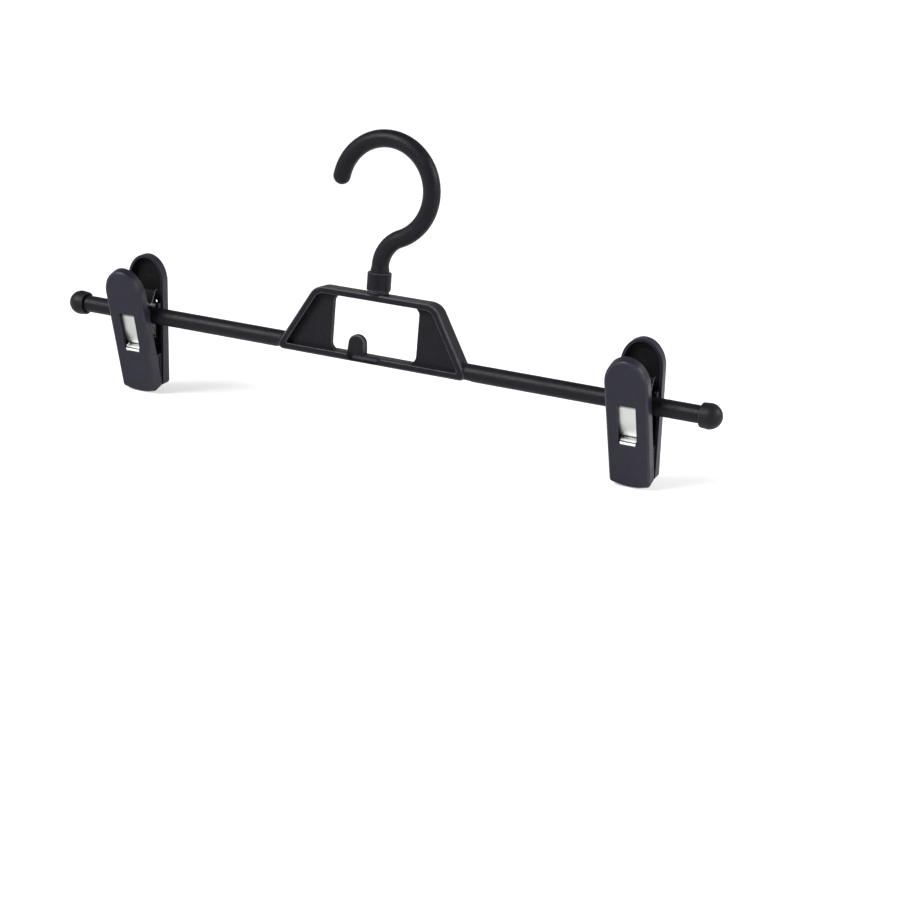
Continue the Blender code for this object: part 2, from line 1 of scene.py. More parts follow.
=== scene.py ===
import json
import math

import bmesh
import bpy
from mathutils import Matrix, Vector


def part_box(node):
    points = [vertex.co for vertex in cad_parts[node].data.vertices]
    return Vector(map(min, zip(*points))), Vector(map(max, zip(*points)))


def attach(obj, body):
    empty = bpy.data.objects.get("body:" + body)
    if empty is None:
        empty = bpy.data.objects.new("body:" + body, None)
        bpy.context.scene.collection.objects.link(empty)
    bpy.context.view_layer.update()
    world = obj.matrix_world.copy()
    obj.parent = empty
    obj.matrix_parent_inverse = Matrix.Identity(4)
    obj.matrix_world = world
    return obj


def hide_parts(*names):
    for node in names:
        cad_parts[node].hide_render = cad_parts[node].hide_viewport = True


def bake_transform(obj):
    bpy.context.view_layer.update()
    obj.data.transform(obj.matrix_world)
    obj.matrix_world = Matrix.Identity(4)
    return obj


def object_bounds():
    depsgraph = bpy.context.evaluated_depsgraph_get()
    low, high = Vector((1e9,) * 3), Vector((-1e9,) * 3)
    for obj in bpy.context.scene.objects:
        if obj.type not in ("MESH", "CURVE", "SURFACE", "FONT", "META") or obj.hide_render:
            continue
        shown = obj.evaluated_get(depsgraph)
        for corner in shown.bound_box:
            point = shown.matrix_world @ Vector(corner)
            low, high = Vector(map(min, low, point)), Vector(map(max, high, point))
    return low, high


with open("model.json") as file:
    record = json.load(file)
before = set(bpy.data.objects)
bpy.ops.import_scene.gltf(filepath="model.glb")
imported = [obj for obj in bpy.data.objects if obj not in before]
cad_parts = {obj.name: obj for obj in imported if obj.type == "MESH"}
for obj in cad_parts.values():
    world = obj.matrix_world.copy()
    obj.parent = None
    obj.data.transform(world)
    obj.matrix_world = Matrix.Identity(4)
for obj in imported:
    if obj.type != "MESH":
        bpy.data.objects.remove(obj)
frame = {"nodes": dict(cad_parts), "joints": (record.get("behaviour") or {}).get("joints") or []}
cadLow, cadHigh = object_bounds()
print("frame loaded,", len(frame["nodes"]), "nodes")

# lengths are in metres; each piece is built round the bar's axis and then put at its height
capLow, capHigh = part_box("end_cap_right")
barZ = (capLow.z + capHigh.z) / 2
toBar = Matrix.Translation((0, 0, barZ))
clipPlaces = {
    joint["name"].split("_")[-1]: Vector(joint["pos_m"])
    for joint in frame["joints"]
    if joint["name"].startswith("clip_turn")
}
quarter = math.pi / 2
fits = {
    "gap": 0.0003,          # between pieces that fit into or round each other
    "overrun": 0.0010,      # how far cutters reach past a face
    "sink": 0.0004,         # how far joined shapes reach into each other
    "hair": 0.00002,        # too small to see: keeps faces apart and merges doubles
    "middle": 0.000002,     # how near the middle plane a point counts as on it
}


# camera

camera = {
    "place": (0.386647, -0.785022, 0.095676),
    "azimuth": math.radians(23.702),
    "elevation": math.radians(14.874),
    "roll": math.radians(4.844),
    "focalPixels": 1951.4,
    "imagePixels": 900,
    "sensorWidth": 36,
    "clip": (0.01, 50),
}


def addCamera(spec):
    azimuth, elevation = spec["azimuth"], spec["elevation"]
    back = Vector(
        (
            math.sin(azimuth) * math.cos(elevation),
            -math.cos(azimuth) * math.cos(elevation),
            math.sin(elevation),
        )
    )
    right = Vector((math.cos(azimuth), math.sin(azimuth), 0))
    turn = Matrix((right, back.cross(right), back)).transposed()
    turn = turn @ Matrix.Rotation(spec["roll"], 3, "Z")
    data = bpy.data.cameras.new("camera")
    data.sensor_width = spec["sensorWidth"]
    data.lens = spec["sensorWidth"] * spec["focalPixels"] / spec["imagePixels"]
    data.clip_start, data.clip_end = spec["clip"]
    made = bpy.data.objects.new("camera", data)
    made.matrix_world = Matrix.Translation(spec["place"]) @ turn.to_4x4()
    bpy.context.scene.collection.objects.link(made)
    bpy.context.scene.camera = made


addCamera(camera)
bpy.context.scene.view_settings.view_transform = "Standard"     # keeps black plastic black
print("camera placed")


# nodes and materials

def newGroup(name, inputs, outputs):
    group = bpy.data.node_groups.new(name, "ShaderNodeTree")
    for label, kind, value in inputs:
        socket = group.interface.new_socket(name=label, in_out="INPUT", socket_type=kind)
        socket.default_value = value
    for label, kind in outputs:
        group.interface.new_socket(name=label, in_out="OUTPUT", socket_type=kind)
    source = group.nodes.new("NodeGroupInput")
    sink = group.nodes.new("NodeGroupOutput")
    return group, source, sink


def addNode(tree, kind, links=None, **values):
    # a node with its properties, and its inputs set to a number or linked to a socket
    made = tree.nodes.new(kind)
    for name, value in values.items():
        setattr(made, name, value)
    for name, value in (links or {}).items():
        if isinstance(value, bpy.types.NodeSocket):
            tree.links.new(value, made.inputs[name])
        else:
            made.inputs[name].default_value = value
    return made


def mathNode(tree, operation, first, second):
    made = tree.nodes.new("ShaderNodeMath")
    made.operation = operation
    for index, value in enumerate((first, second)):
        if isinstance(value, bpy.types.NodeSocket):
            tree.links.new(value, made.inputs[index])
        else:
            made.inputs[index].default_value = value
    return made.outputs[0]


def noise(tree, where, inputs):
    return addNode(tree, "ShaderNodeTexNoise", {"Vector": where, **inputs}).outputs["Fac"]


def mixColour(tree, first, second, share):
    # each colour is a socket or three numbers
    inputs = {"Factor": share}
    for name, colour in (("A", first), ("B", second)):
        inputs[name] = colour if isinstance(colour, bpy.types.NodeSocket) else (*colour, 1)
    return addNode(tree, "ShaderNodeMix", inputs, data_type="RGBA").outputs["Result"]


def readMark(tree, name):
    # a face or vertex mark of the mesh, zero where the mesh has none
    return addNode(tree, "ShaderNodeAttribute", attribute_name=name).outputs["Fac"]


def newMaterial(name):
    material = bpy.data.materials.new(name)
    material.use_nodes = True
    return material, material.node_tree, material.node_tree.nodes["Principled BSDF"]


def addBump(tree, shader, height, distance):
    bump = addNode(tree, "ShaderNodeBump", {"Height": height, "Distance": distance})
    tree.links.new(bump.outputs["Normal"], shader.inputs["Normal"])


# floor, world and lights

studio = {
    "floorSize": 40.0,
    "floorDrop": 0.0002,
    "floorColour": (0.60, 0.60, 0.60),
    "floorRoughness": 0.9,
    "floorGlow": 0.42,          # as on a light table
    "worldColour": (0.97, 0.98, 1.0),
    "frontStrength": 0.08,
    "backStrength": 0.75,
    "overheadShare": 0.25,
    "fadeFoot": 0.1,
}
lights = {
    "keySun": {
        "kind": "SUN",
        "from": (-0.42, -0.705, 0.571),
        "spread": math.radians(30),
        "power": 4.5,
    },
    "rightSoft": {"kind": "AREA", "from": (1.09, 0.35, 0.54), "size": (0.16, 0.26), "power": 13},
    "edgeStrip": {"kind": "AREA", "from": (1.15, -0.42, 0.02), "size": (0.08, 0.70), "power": 3.5},
    "leftSoft": {"kind": "AREA", "from": (-1.2, -0.5, 0.5), "size": (0.3, 0.8), "power": 3},
}
lightAim = Vector((0, 0, -0.06))


def addFloor(spec):
    bm = bmesh.new()
    low = Matrix.Translation((0, 0, cadLow.z - spec["floorDrop"]))
    bmesh.ops.create_grid(bm, x_segments=1, y_segments=1, size=spec["floorSize"] / 2, matrix=low)
    mesh = bpy.data.meshes.new("floor")
    bm.to_mesh(mesh)
    bm.free()
    paint, _, shader = newMaterial("floorPaint")
    shader.inputs["Base Color"].default_value = (*spec["floorColour"], 1)
    shader.inputs["Roughness"].default_value = spec["floorRoughness"]
    shader.inputs["Emission Color"].default_value = (1, 1, 1, 1)
    shader.inputs["Emission Strength"].default_value = spec["floorGlow"]
    mesh.materials.append(paint)
    floor = bpy.data.objects.new("floor", mesh)
    bpy.context.scene.collection.objects.link(floor)


def addWorld(spec):
    # brighter behind the hanger than before it, and darker overhead
    world = bpy.data.worlds.new("studio")
    world.use_nodes = True
    tree = world.node_tree
    where = addNode(tree, "ShaderNodeTexCoord").outputs["Generated"]
    parts = addNode(tree, "ShaderNodeSeparateXYZ", {"Vector": where})
    fades = []
    for axis, low, near, far in (
        ("Y", -1, spec["frontStrength"], spec["backStrength"]),
        ("Z", spec["fadeFoot"], 1, spec["overheadShare"]),
    ):
        inputs = {"Value": parts.outputs[axis], "From Min": low, "To Min": near, "To Max": far}
        fades.append(addNode(tree, "ShaderNodeMapRange", inputs).outputs["Result"])
    sky = tree.nodes["Background"]
    sky.inputs["Color"].default_value = (*spec["worldColour"], 1)
    tree.links.new(mathNode(tree, "MULTIPLY", *fades), sky.inputs["Strength"])
    bpy.context.scene.world = world


def addLights(lamps):
    for name, lamp in lamps.items():
        data = bpy.data.lights.new(name, lamp["kind"])
        data.energy = lamp["power"]
        if lamp["kind"] == "SUN":
            data.angle = lamp["spread"]
        else:
            data.shape = "RECTANGLE"
            data.size, data.size_y = lamp["size"]
        light = bpy.data.objects.new(name, data)
        light.location = lamp["from"]
        aim = lightAim - light.location
        light.rotation_euler = aim.to_track_quat("-Z", "Y").to_euler()
        bpy.context.scene.collection.objects.link(light)


addFloor(studio)
addWorld(studio)
addLights(lights)
print("floor and lights placed")


# outlines, loops and skins

def fillet(before, corner, after, radius, steps):
    # points of the arc that rounds one corner of a flat path
    back = (before - corner).normalized()
    ahead = (after - corner).normalized()
    half = back.angle(ahead) / 2
    centre = corner + (back + ahead).normalized() * (radius / math.sin(half))
    start = corner + back * (radius / math.tan(half)) - centre
    sweep = math.pi - 2 * half
    turn = -sweep if back.x * ahead.y - back.y * ahead.x > 0 else sweep
    return [centre + Matrix.Rotation(turn * step / steps, 2) @ start for step in range(steps + 1)]


def roundedOutline(corners):
    # a closed outline from (x, height, radius, steps) corners
    spots = [Vector(corner[:2]) for corner in corners]
    points = []
    for index, (_, _, radius, steps) in enumerate(corners):
        before, after = spots[index - 1], spots[(index + 1) % len(spots)]
        points += fillet(before, spots[index], after, radius, steps)
    return points


def roundedBox(half, low, high, radius, steps):
    corners = ((-half, low), (half, low), (half, high), (-half, high))
    return roundedOutline([(*corner, radius, steps) for corner in corners])


def quarterTurns(steps):
    return [quarter * step / steps for step in range(steps + 1)]


def addLoop(bm, points):
    verts = [bm.verts.new(point) for point in points]
    return [bm.edges.new((verts[index - 1], verts[index])) for index in range(len(verts))]


def addCircle(bm, place, radius, sides):
    made = bmesh.ops.create_circle(bm, cap_ends=False, radius=radius, segments=sides, matrix=place)
    return list(dict.fromkeys(edge for vert in made["verts"] for edge in vert.link_edges))


def closeEnds(bm, loops):
    for end in (loops[0], loops[-1]):
        bmesh.ops.edgeloop_fill(bm, edges=end)


def bridgeAll(bm, loops):
    for lower, upper in zip(loops, loops[1:]):
        bmesh.ops.bridge_loops(bm, edges=lower + upper)


def skin(loopPoints):
    # a skin through closed loops of points, one after another, with flat ends
    bm = bmesh.new()
    loops = [addLoop(bm, points) for points in loopPoints]
    bridgeAll(bm, loops)
    closeEnds(bm, loops)
    return bm


def tube(places, sides):
    # a round skin through (matrix, radius) places
    bm = bmesh.new()
    loops = [addCircle(bm, place, radius, sides) for place, radius in places]
    bridgeAll(bm, loops)
    closeEnds(bm, loops)
    return bm


def upright(height):
    return Matrix.Translation((0, 0, height))


def alongX(x, y, z):
    return Matrix.Translation((x, y, z)) @ Matrix.Rotation(quarter, 4, "Y")


def prism(points, front, back):
    # an outline in the XZ plane between two depths, each a function of the height
    bm = bmesh.new()
    face = bm.faces.new([bm.verts.new((point.x, front(point.y), point.y)) for point in points])
    made = bmesh.ops.extrude_face_region(bm, geom=[face])
    for item in made["geom"]:
        if isinstance(item, bmesh.types.BMVert):
            item.co.y = back(item.co.z)
    return bm


def level(depth):
    return lambda height: depth


def roundEdges(bm, chosen, radius, steps):
    bmesh.ops.bevel(
        bm,
        geom=[edge for edge in bm.edges if all(chosen(vert.co) for vert in edge.verts)],
        offset=radius,
        segments=steps,
        profile=0.5,
        affect="EDGES",
        material=-1,
    )


# meshes and pieces

shading = {
    "sharpAngle": math.radians(38),
    "edgeAngle": math.radians(8),
    "edgeShare": 0.55,
    "edgeWidth": 0.00033,
}


def sortFaces(bm):
    # extrude, spin and bevel leave the faces in another order in each run
    bm.verts.index_update()
    order = sorted(bm.faces, key=lambda face: sorted(vert.index for vert in face.verts))
    ranks = {face: rank for rank, face in enumerate(order)}
    bm.faces.sort(key=ranks.get)


def toMesh(bm, name):
    sortFaces(bm)
    bmesh.ops.recalc_face_normals(bm, faces=bm.faces)
    mesh = bpy.data.meshes.new(name)
    bm.to_mesh(mesh)
    bm.free()
    return mesh


def combine(name, blank, steps):
    # the blank after each (operation, solid) is joined to or cut from it
    body = bpy.data.objects.new(name, toMesh(blank, name))
    bpy.context.scene.collection.objects.link(body)
    tools = []
    for operation, solid in steps:
        tool = bpy.data.objects.new(name + "Tool", toMesh(solid, name + "Tool"))
        bpy.context.scene.collection.objects.link(tool)
        boolean = body.modifiers.new(tool.name, "BOOLEAN")
        boolean.operation = operation
        boolean.object = tool
        boolean.solver = "EXACT"
        tools.append(tool)
    graph = bpy.context.evaluated_depsgraph_get()
    mesh = bpy.data.meshes.new_from_object(body.evaluated_get(graph))
    for item in [body, *tools]:
        bpy.data.objects.remove(item, do_unlink=True)
    return mesh


def markEdges(mesh):
    # the narrow faces of rounded outer edges, for a painted highlight with some wear
    bm = bmesh.new()
    bm.from_mesh(mesh)
    bm.normal_update()
    layer = bm.faces.layers.float.new("edge")
    for face in bm.faces:
        lengths = [
            edge.calc_length()
            for edge in face.edges
            if len(edge.link_faces) == 2 and edge.calc_face_angle_signed() > shading["edgeAngle"]
        ]
        rounded = len(lengths) > 1 and sum(lengths) > shading["edgeShare"] * face.calc_perimeter()
        narrow = face.calc_area() < shading["edgeWidth"] * max(edge.calc_length() for edge in face.edges)
        face[layer] = 1 if rounded and narrow else 0
    bm.to_mesh(mesh)
    bm.free()


def addPiece(name, mesh, material, nodes, body=None):
    mesh.name = name
    markEdges(mesh)
    mesh.materials.clear()
    mesh.materials.append(material)
    mesh.shade_smooth()
    mesh.set_sharp_from_angle(angle=shading["sharpAngle"])
    piece = bpy.data.objects.new(name, mesh)
    bpy.context.scene.collection.objects.link(piece)
    evened = piece.modifiers.new("evenShading", "WEIGHTED_NORMAL")
    evened.keep_sharp = True
    if body:
        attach(piece, body)
    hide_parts(*nodes)
    return piece


# plastics and steel

mouldedLook = {
    "grainDetail": 2.0,
    "grainRoughness": 0.6,
    "pitScale": 0.55,
    "pitShare": 0.5,
    "patchDetail": 3.0,
    "patchRoughness": 0.55,
    "patchDistortion": 0.4,
    "patchSpread": 2.0,
    "speckScale": 9.0,
    "speckDetail": 4.0,
    "speckStart": 0.58,
    "speckGain": 6.0,
    "speckRoughness": 0.25,
    # painted highlight with some wear on rounded edges
    "edgeWearAndSheenGain": 2.0,
    # painted shade: the near-black colour of the jaw's hollow
    "hollowShadeColour": (0.0012, 0.0012, 0.0016),
    "hollowRoughness": 0.25,
}


def makeMouldedGroup():
    # fine moulding grain, soft flow patches and a few rubbed specks
    number = "NodeSocketFloat"
    group, source, sink = newGroup(
        "mouldedSkin",
        [
            ("Grain Size", number, 0.00025),
            ("Patch Size", number, 0.012),
            ("Roughness", number, 0.4),
            ("Roughness Spread", number, 0.08),
            ("Speck Amount", number, 0.2),
        ],
        [("Roughness", number), ("Height", number), ("Speck", number), ("Patch", number)],
    )
    look = mouldedLook
    where = addNode(group, "ShaderNodeTexCoord").outputs["Object"]
    grainScale = mathNode(group, "DIVIDE", 1.0, source.outputs["Grain Size"])
    patchScale = mathNode(group, "DIVIDE", 1.0, source.outputs["Patch Size"])
    grain = noise(
        group,
        where,
        {"Scale": grainScale, "Detail": look["grainDetail"], "Roughness": look["grainRoughness"]},
    )
    pitScale = mathNode(group, "MULTIPLY", grainScale, look["pitScale"])
    pits = addNode(group, "ShaderNodeTexVoronoi", {"Vector": where, "Scale": pitScale}).outputs["Distance"]
    patch = noise(
        group,
        where,
        {
            "Scale": patchScale,
            "Detail": look["patchDetail"],
            "Roughness": look["patchRoughness"],
            "Distortion": look["patchDistortion"],
        },
    )
    speckScale = mathNode(group, "MULTIPLY", patchScale, look["speckScale"])
    speck = noise(group, where, {"Scale": speckScale, "Detail": look["speckDetail"]})
    speck = mathNode(group, "SUBTRACT", speck, look["speckStart"])
    speck = mathNode(group, "MULTIPLY", speck, look["speckGain"])
    speck = mathNode(group, "MINIMUM", mathNode(group, "MAXIMUM", speck, 0.0), 1.0)
    speck = mathNode(group, "MULTIPLY", speck, source.outputs["Speck Amount"])
    spread = mathNode(group, "MULTIPLY", mathNode(group, "SUBTRACT", patch, 0.5), look["patchSpread"])
    spread = mathNode(group, "ADD", spread, mathNode(group, "SUBTRACT", grain, 0.5))
    spread = mathNode(group, "MULTIPLY", spread, source.outputs["Roughness Spread"])
    rough = mathNode(group, "ADD", source.outputs["Roughness"], spread)
    rough = mathNode(group, "ADD", rough, mathNode(group, "MULTIPLY", speck, look["speckRoughness"]))
    height = mathNode(group, "ADD", grain, mathNode(group, "MULTIPLY", pits, look["pitShare"]))
    group.links.new(rough, sink.inputs["Roughness"])
    group.links.new(height, sink.inputs["Height"])
    group.links.new(speck, sink.inputs["Speck"])
    group.links.new(patch, sink.inputs["Patch"])
    return group


mouldedGroup = makeMouldedGroup()


def makePlastic(name, spec):
    material, tree, shader = newMaterial(name)
    moulded = tree.nodes.new("ShaderNodeGroup")
    moulded.node_tree = mouldedGroup
    moulded.inputs["Grain Size"].default_value = spec["grainSize"]
    moulded.inputs["Patch Size"].default_value = spec["patchSize"]
    moulded.inputs["Roughness"].default_value = spec["roughness"]
    moulded.inputs["Roughness Spread"].default_value = spec["roughnessSpread"]
    moulded.inputs["Speck Amount"].default_value = spec["speckAmount"]
    patch, inside = moulded.outputs["Patch"], readMark(tree, "inside")
    # painted highlight with some wear: the marked edge faces turn lighter, in patches
    edgeWearAndSheen = mathNode(tree, "MULTIPLY", patch, mouldedLook["edgeWearAndSheenGain"])
    edgeWearAndSheen = mathNode(tree, "MULTIPLY", readMark(tree, "edge"), edgeWearAndSheen)
    edgeWearAndSheen = mathNode(tree, "MULTIPLY", edgeWearAndSheen, spec["edgeShare"])
    colour = mixColour(tree, spec["colour"], spec["patchColour"], patch)
    colour = mixColour(tree, colour, spec["speckColour"], moulded.outputs["Speck"])
    colour = mixColour(tree, colour, spec["edgeColour"], edgeWearAndSheen)
    # painted shade: the hollow behind the jaw's face turns near black
    colour = mixColour(tree, colour, mouldedLook["hollowShadeColour"], inside)
    tree.links.new(colour, shader.inputs["Base Color"])
    dull = mathNode(tree, "MULTIPLY", inside, mouldedLook["hollowRoughness"])
    rough = mathNode(tree, "ADD", moulded.outputs["Roughness"], dull)
    tree.links.new(rough, shader.inputs["Roughness"])
    addBump(tree, shader, moulded.outputs["Height"], spec["grainHeight"])
    shader.inputs["Specular IOR Level"].default_value = spec["specular"]
    return material


# each edgeColour is a painted highlight along rounded edges, with some wear
plastics = {
    "framePlastic": {
        "colour": (0.0034, 0.0033, 0.0050),
        "patchColour": (0.0076, 0.0074, 0.0106),
        "speckColour": (0.040, 0.040, 0.045),
        "roughness": 0.45,
        "roughnessSpread": 0.13,
        "grainSize": 0.00065,
        "grainHeight": 0.000075,
        "patchSize": 0.0045,
        "speckAmount": 0.35,
        "edgeColour": (0.052, 0.052, 0.058),
        "edgeShare": 0.8,
        "specular": 0.12,
    },
    "capPlastic": {
        "colour": (0.0040, 0.0039, 0.0056),
        "patchColour": (0.0074, 0.0072, 0.0098),
        "speckColour": (0.040, 0.040, 0.045),
        "roughness": 0.50,
        "roughnessSpread": 0.10,
        "grainSize": 0.00055,
        "grainHeight": 0.000060,
        "patchSize": 0.0035,
        "speckAmount": 0.3,
        "edgeColour": (0.050, 0.050, 0.056),
        "edgeShare": 0.5,
        "specular": 0.14,
    },
    "hookPlastic": {
        "colour": (0.0032, 0.0031, 0.0048),
        "patchColour": (0.0074, 0.0072, 0.0104),
        "speckColour": (0.040, 0.040, 0.045),
        "roughness": 0.44,
        "roughnessSpread": 0.13,
        "grainSize": 0.00070,
        "grainHeight": 0.000085,
        "patchSize": 0.0045,
        "speckAmount": 0.35,
        "edgeColour": (0.052, 0.052, 0.058),
        "edgeShare": 0.8,
        "specular": 0.12,
    },
    "jawPlastic": {
        "colour": (0.0078, 0.0074, 0.0142),
        "patchColour": (0.0122, 0.0116, 0.0208),
        "speckColour": (0.046, 0.045, 0.056),
        "roughness": 0.42,
        "roughnessSpread": 0.08,
        "grainSize": 0.00045,
        "grainHeight": 0.000018,
        "patchSize": 0.0070,
        "speckAmount": 0.25,
        "edgeColour": (0.060, 0.059, 0.072),
        "edgeShare": 0.22,
        "specular": 0.185,
    },
}
finishes = {name: makePlastic(name, spec) for name, spec in plastics.items()}


steel = {
    "colour": (0.60, 0.61, 0.59),
    "darkColour": (0.44, 0.45, 0.44),
    # shadeColour is painted shade in the bends and over the upper strip
    "shadeColour": (0.010, 0.010, 0.011),
    # brightColour is a painted highlight on the ledge and foot
    "brightColour": (0.96, 0.96, 0.95),
    "brightRoughness": 0.35,
    "roughness": 0.40,
    "shadeRoughness": 0.25,
    "lineScale": (9000, 900, 60),
    "lineDetail": 3.0,
    "lineShare": 0.5,
    "lineHeight": 0.000002,
    "patchScale": 900,
    "patchDetail": 4.0,
    "patchShare": 0.6,
    "patchRoughness": 0.16,
}


def makeSteel(spec):
    # rolled strip: fine lines along its length, dull patches, and painted shade and a painted highlight
    # from its own shade attribute
    material, tree, shader = newMaterial("springSteel")
    where = addNode(tree, "ShaderNodeTexCoord").outputs["Object"]
    stretched = addNode(tree, "ShaderNodeMapping", {"Vector": where, "Scale": spec["lineScale"]})
    lines = noise(tree, stretched.outputs["Vector"], {"Scale": 1.0, "Detail": spec["lineDetail"]})
    patch = noise(tree, where, {"Scale": spec["patchScale"], "Detail": spec["patchDetail"]})
    # painted shade where the shade attribute is above zero, a painted highlight where it is below
    marks = readMark(tree, "shade")
    shade = mathNode(tree, "MAXIMUM", marks, 0.0)
    bright = mathNode(tree, "MAXIMUM", mathNode(tree, "MULTIPLY", marks, -1.0), 0.0)
    mottle = mathNode(
        tree,
        "ADD",
        mathNode(tree, "MULTIPLY", lines, spec["lineShare"]),
        mathNode(tree, "MULTIPLY", patch, spec["patchShare"]),
    )
    colour = mixColour(tree, spec["darkColour"], spec["colour"], mottle)
    colour = mixColour(tree, colour, spec["brightColour"], bright)
    colour = mixColour(tree, colour, spec["shadeColour"], shade)
    tree.links.new(colour, shader.inputs["Base Color"])
    rough = mathNode(tree, "MULTIPLY", patch, spec["patchRoughness"])
    rough = mathNode(tree, "ADD", rough, spec["roughness"] - spec["patchRoughness"] / 2)
    rough = mathNode(tree, "ADD", rough, mathNode(tree, "MULTIPLY", shade, spec["shadeRoughness"]))
    rough = mathNode(tree, "ADD", rough, mathNode(tree, "MULTIPLY", bright, spec["brightRoughness"]))
    tree.links.new(rough, shader.inputs["Roughness"])
    shader.inputs["Metallic"].default_value = 1.0
    addBump(tree, shader, lines, spec["lineHeight"])
    return material


finishes["springSteel"] = makeSteel(steel)
print("materials made")


# bracket: slanted rim, thin web, window, tongue and scoop

bracket = {
    "bottomWidth": 0.0992,
    "topWidth": 0.0610,
    "height": 0.0322,
    "drop": 0.00364,
    "topRadius": 0.0080,
    "footRadius": 0.0025,
    "innerFootRadius": 0.0008,
    "rimThickness": 0.00307,
    "rimDepth": 0.00863,
    "outerRound": 0.0007,
    "innerRound": 0.00035,
    "webThickness": 0.00232,
    "webFillet": 0.00012,
    "windowWidth": 0.04364,
    "windowRadius": 0.0034,
    "windowStep": 0.00025,
    "windowRound": 0.00011,
    "footSteps": 8,
    "cornerSteps": 16,
    "windowSteps": 12,
    "outerSteps": 5,
    "innerSteps": 4,
    "webSteps": 2,
}
rimTop = bracket["height"] - bracket["drop"]
rimUnderside = rimTop - bracket["rimThickness"]
floorTop = bracket["rimThickness"] - bracket["drop"]


def halfWidth(height, inset=0):
    lean = (bracket["bottomWidth"] - bracket["topWidth"]) / 2 / bracket["height"]
    foot = bracket["bottomWidth"] / 2 - inset * math.hypot(1, lean)
    return foot - lean * (height + bracket["drop"])


def bracketOutline(inset, footRadius):
    top, bottom = rimTop - inset, inset - bracket["drop"]
    narrow, wide = halfWidth(top, inset), halfWidth(bottom, inset)
    foot = (footRadius, bracket["footSteps"])
    corner = (bracket["topRadius"] - inset, bracket["cornerSteps"])
    return roundedOutline(
        [
            (-wide, bottom, *foot),
            (wide, bottom, *foot),
            (narrow, top, *corner),
            (-narrow, top, *corner),
        ]
    )


def windowOutline(grow):
    half = bracket["windowWidth"] / 2 + grow
    low = floorTop + bracket["windowStep"] - grow
    high = rimUnderside - bracket["windowStep"] + grow
    return roundedBox(half, low, high, bracket["windowRadius"] + grow, bracket["windowSteps"])


def bracketSection():
    # runs of (outline, depth) behind the middle plane, from the rim's outer edge to the window
    rim, depth, web = bracket["rimThickness"], bracket["rimDepth"] / 2, bracket["webThickness"] / 2
    outer, inner = bracket["outerRound"], bracket["innerRound"]
    cove, lip = bracket["webFillet"], bracket["windowRound"]
    foot, innerFoot = bracket["footRadius"], bracket["innerFootRadius"]
    edge, wall, window = [], [], []
    for turn in quarterTurns(bracket["outerSteps"]):
        inset = outer * (1 - math.cos(turn))
        outline = bracketOutline(inset, foot - inset)
        edge.append((outline, depth - outer + outer * math.sin(turn)))
    for turn in quarterTurns(bracket["innerSteps"]):
        back = inner * (1 - math.sin(turn))
        outline = bracketOutline(rim - back, innerFoot + back)
        wall.append((outline, depth - inner + inner * math.cos(turn)))
    for turn in quarterTurns(bracket["webSteps"]):
        ahead = cove * (1 - math.cos(turn))
        outline = bracketOutline(rim + ahead, innerFoot - ahead)
        wall.append((outline, web + cove * (1 - math.sin(turn))))
    for turn in quarterTurns(bracket["webSteps"]):
        outline = windowOutline(lip * (1 - math.sin(turn)))
        window.append((outline, web - lip * (1 - math.cos(turn))))
    return edge, wall, window


def bracketBlank():
    bm = bmesh.new()
    rings = {}
    for side in (-1, 1):
        rings[side] = [
            [addLoop(bm, [(point.x, side * depth, point.y) for point in outline]) for outline, depth in run]
            for run in bracketSection()
        ]
        for run in rings[side]:
            bridgeAll(bm, run)
        edge, wall, window = rings[side]
        for between in (edge[-1] + wall[0], wall[-1] + window[0]):
            bmesh.ops.triangle_fill(bm, edges=between, use_beauty=True, normal=(0, side, 0))
    bmesh.ops.bridge_loops(bm, edges=rings[-1][0][0] + rings[1][0][0])
    bmesh.ops.bridge_loops(bm, edges=rings[-1][2][-1] + rings[1][2][-1])
    return bm


tongueSpec = {
    "width": 0.0085,
    "centreX": -0.00855,
    "top": 0.0084,
    "thickness": 0.0037,
    "frontY": -0.00185,
    "round": 0.0009,
    "root": 0.0016,
    "scoopRadius": 0.0026,
    "scoopLeft": -0.0116,
    "scoopRight": 0.0056,
    "scoopRightLength": 0.0036,
    "archSteps": 28,
    "roundSteps": 6,
    "scoopSteps": 9,
    "scoopSides": 48,
}


def makeTongue(spec):
    half = spec["width"] / 2
    low = floorTop - spec["root"]
    turns = [math.pi * step / spec["archSteps"] for step in range(spec["archSteps"] + 1)]
    middle = spec["top"] - half
    outline = [Vector((half * math.cos(turn), middle + half * math.sin(turn))) for turn in turns]
    outline += [Vector((-half, low)), Vector((half, low))]
    front, back = spec["frontY"], spec["frontY"] + spec["thickness"]
    bm = prism(outline, level(front), level(back))
    for depth in (front, back):
        roundEdges(
            bm,
            lambda co: abs(co.y - depth) < spec["round"] / 2 and co.z > floorTop,
            spec["round"],
            spec["roundSteps"],
        )
    bmesh.ops.translate(bm, verts=bm.verts, vec=(spec["centreX"], 0, 0))
    return bm


def makeScoop(spec):
    # a round-ended trough along the rim's front edge, before the tongue
    radius = spec["scoopRadius"]
    y = spec["frontY"] - fits["hair"] - radius
    stations = []
    ends = ((spec["scoopLeft"], radius), (spec["scoopRight"], -spec["scoopRightLength"]))
    for end, reach in ends:
        for turn in quarterTurns(spec["scoopSteps"])[1:]:
            stations.append((end + reach * (1 - math.cos(turn)), radius * math.sin(turn)))
    return tube([(alongX(x, y, floorTop), size) for x, size in sorted(stations)], spec["scoopSides"])


barSpec = {
    "diameter": 0.0080,
    "length": 0.3250,
    "sides": 48,
    "rootSteps": 7,
    "rootLength": 0.0018,
    "rootRise": 0.0010,
    "rootSpread": 0.0003,
    "rootSink": 0.0026,
    "ridgeWidth": 0.00013,
    "ridgeHeight": 0.00004,
}


def raiseRidge(bm, chosen, width, height):
    # a parting line: each chosen edge gets a narrow face on both sides and is lifted a hair
    facesAcross = 2
    roundEdges(bm, chosen, width, facesAcross)
    bm.normal_update()
    for vert in [vert for vert in bm.verts if chosen(vert.co)]:
        vert.co += vert.normal * height


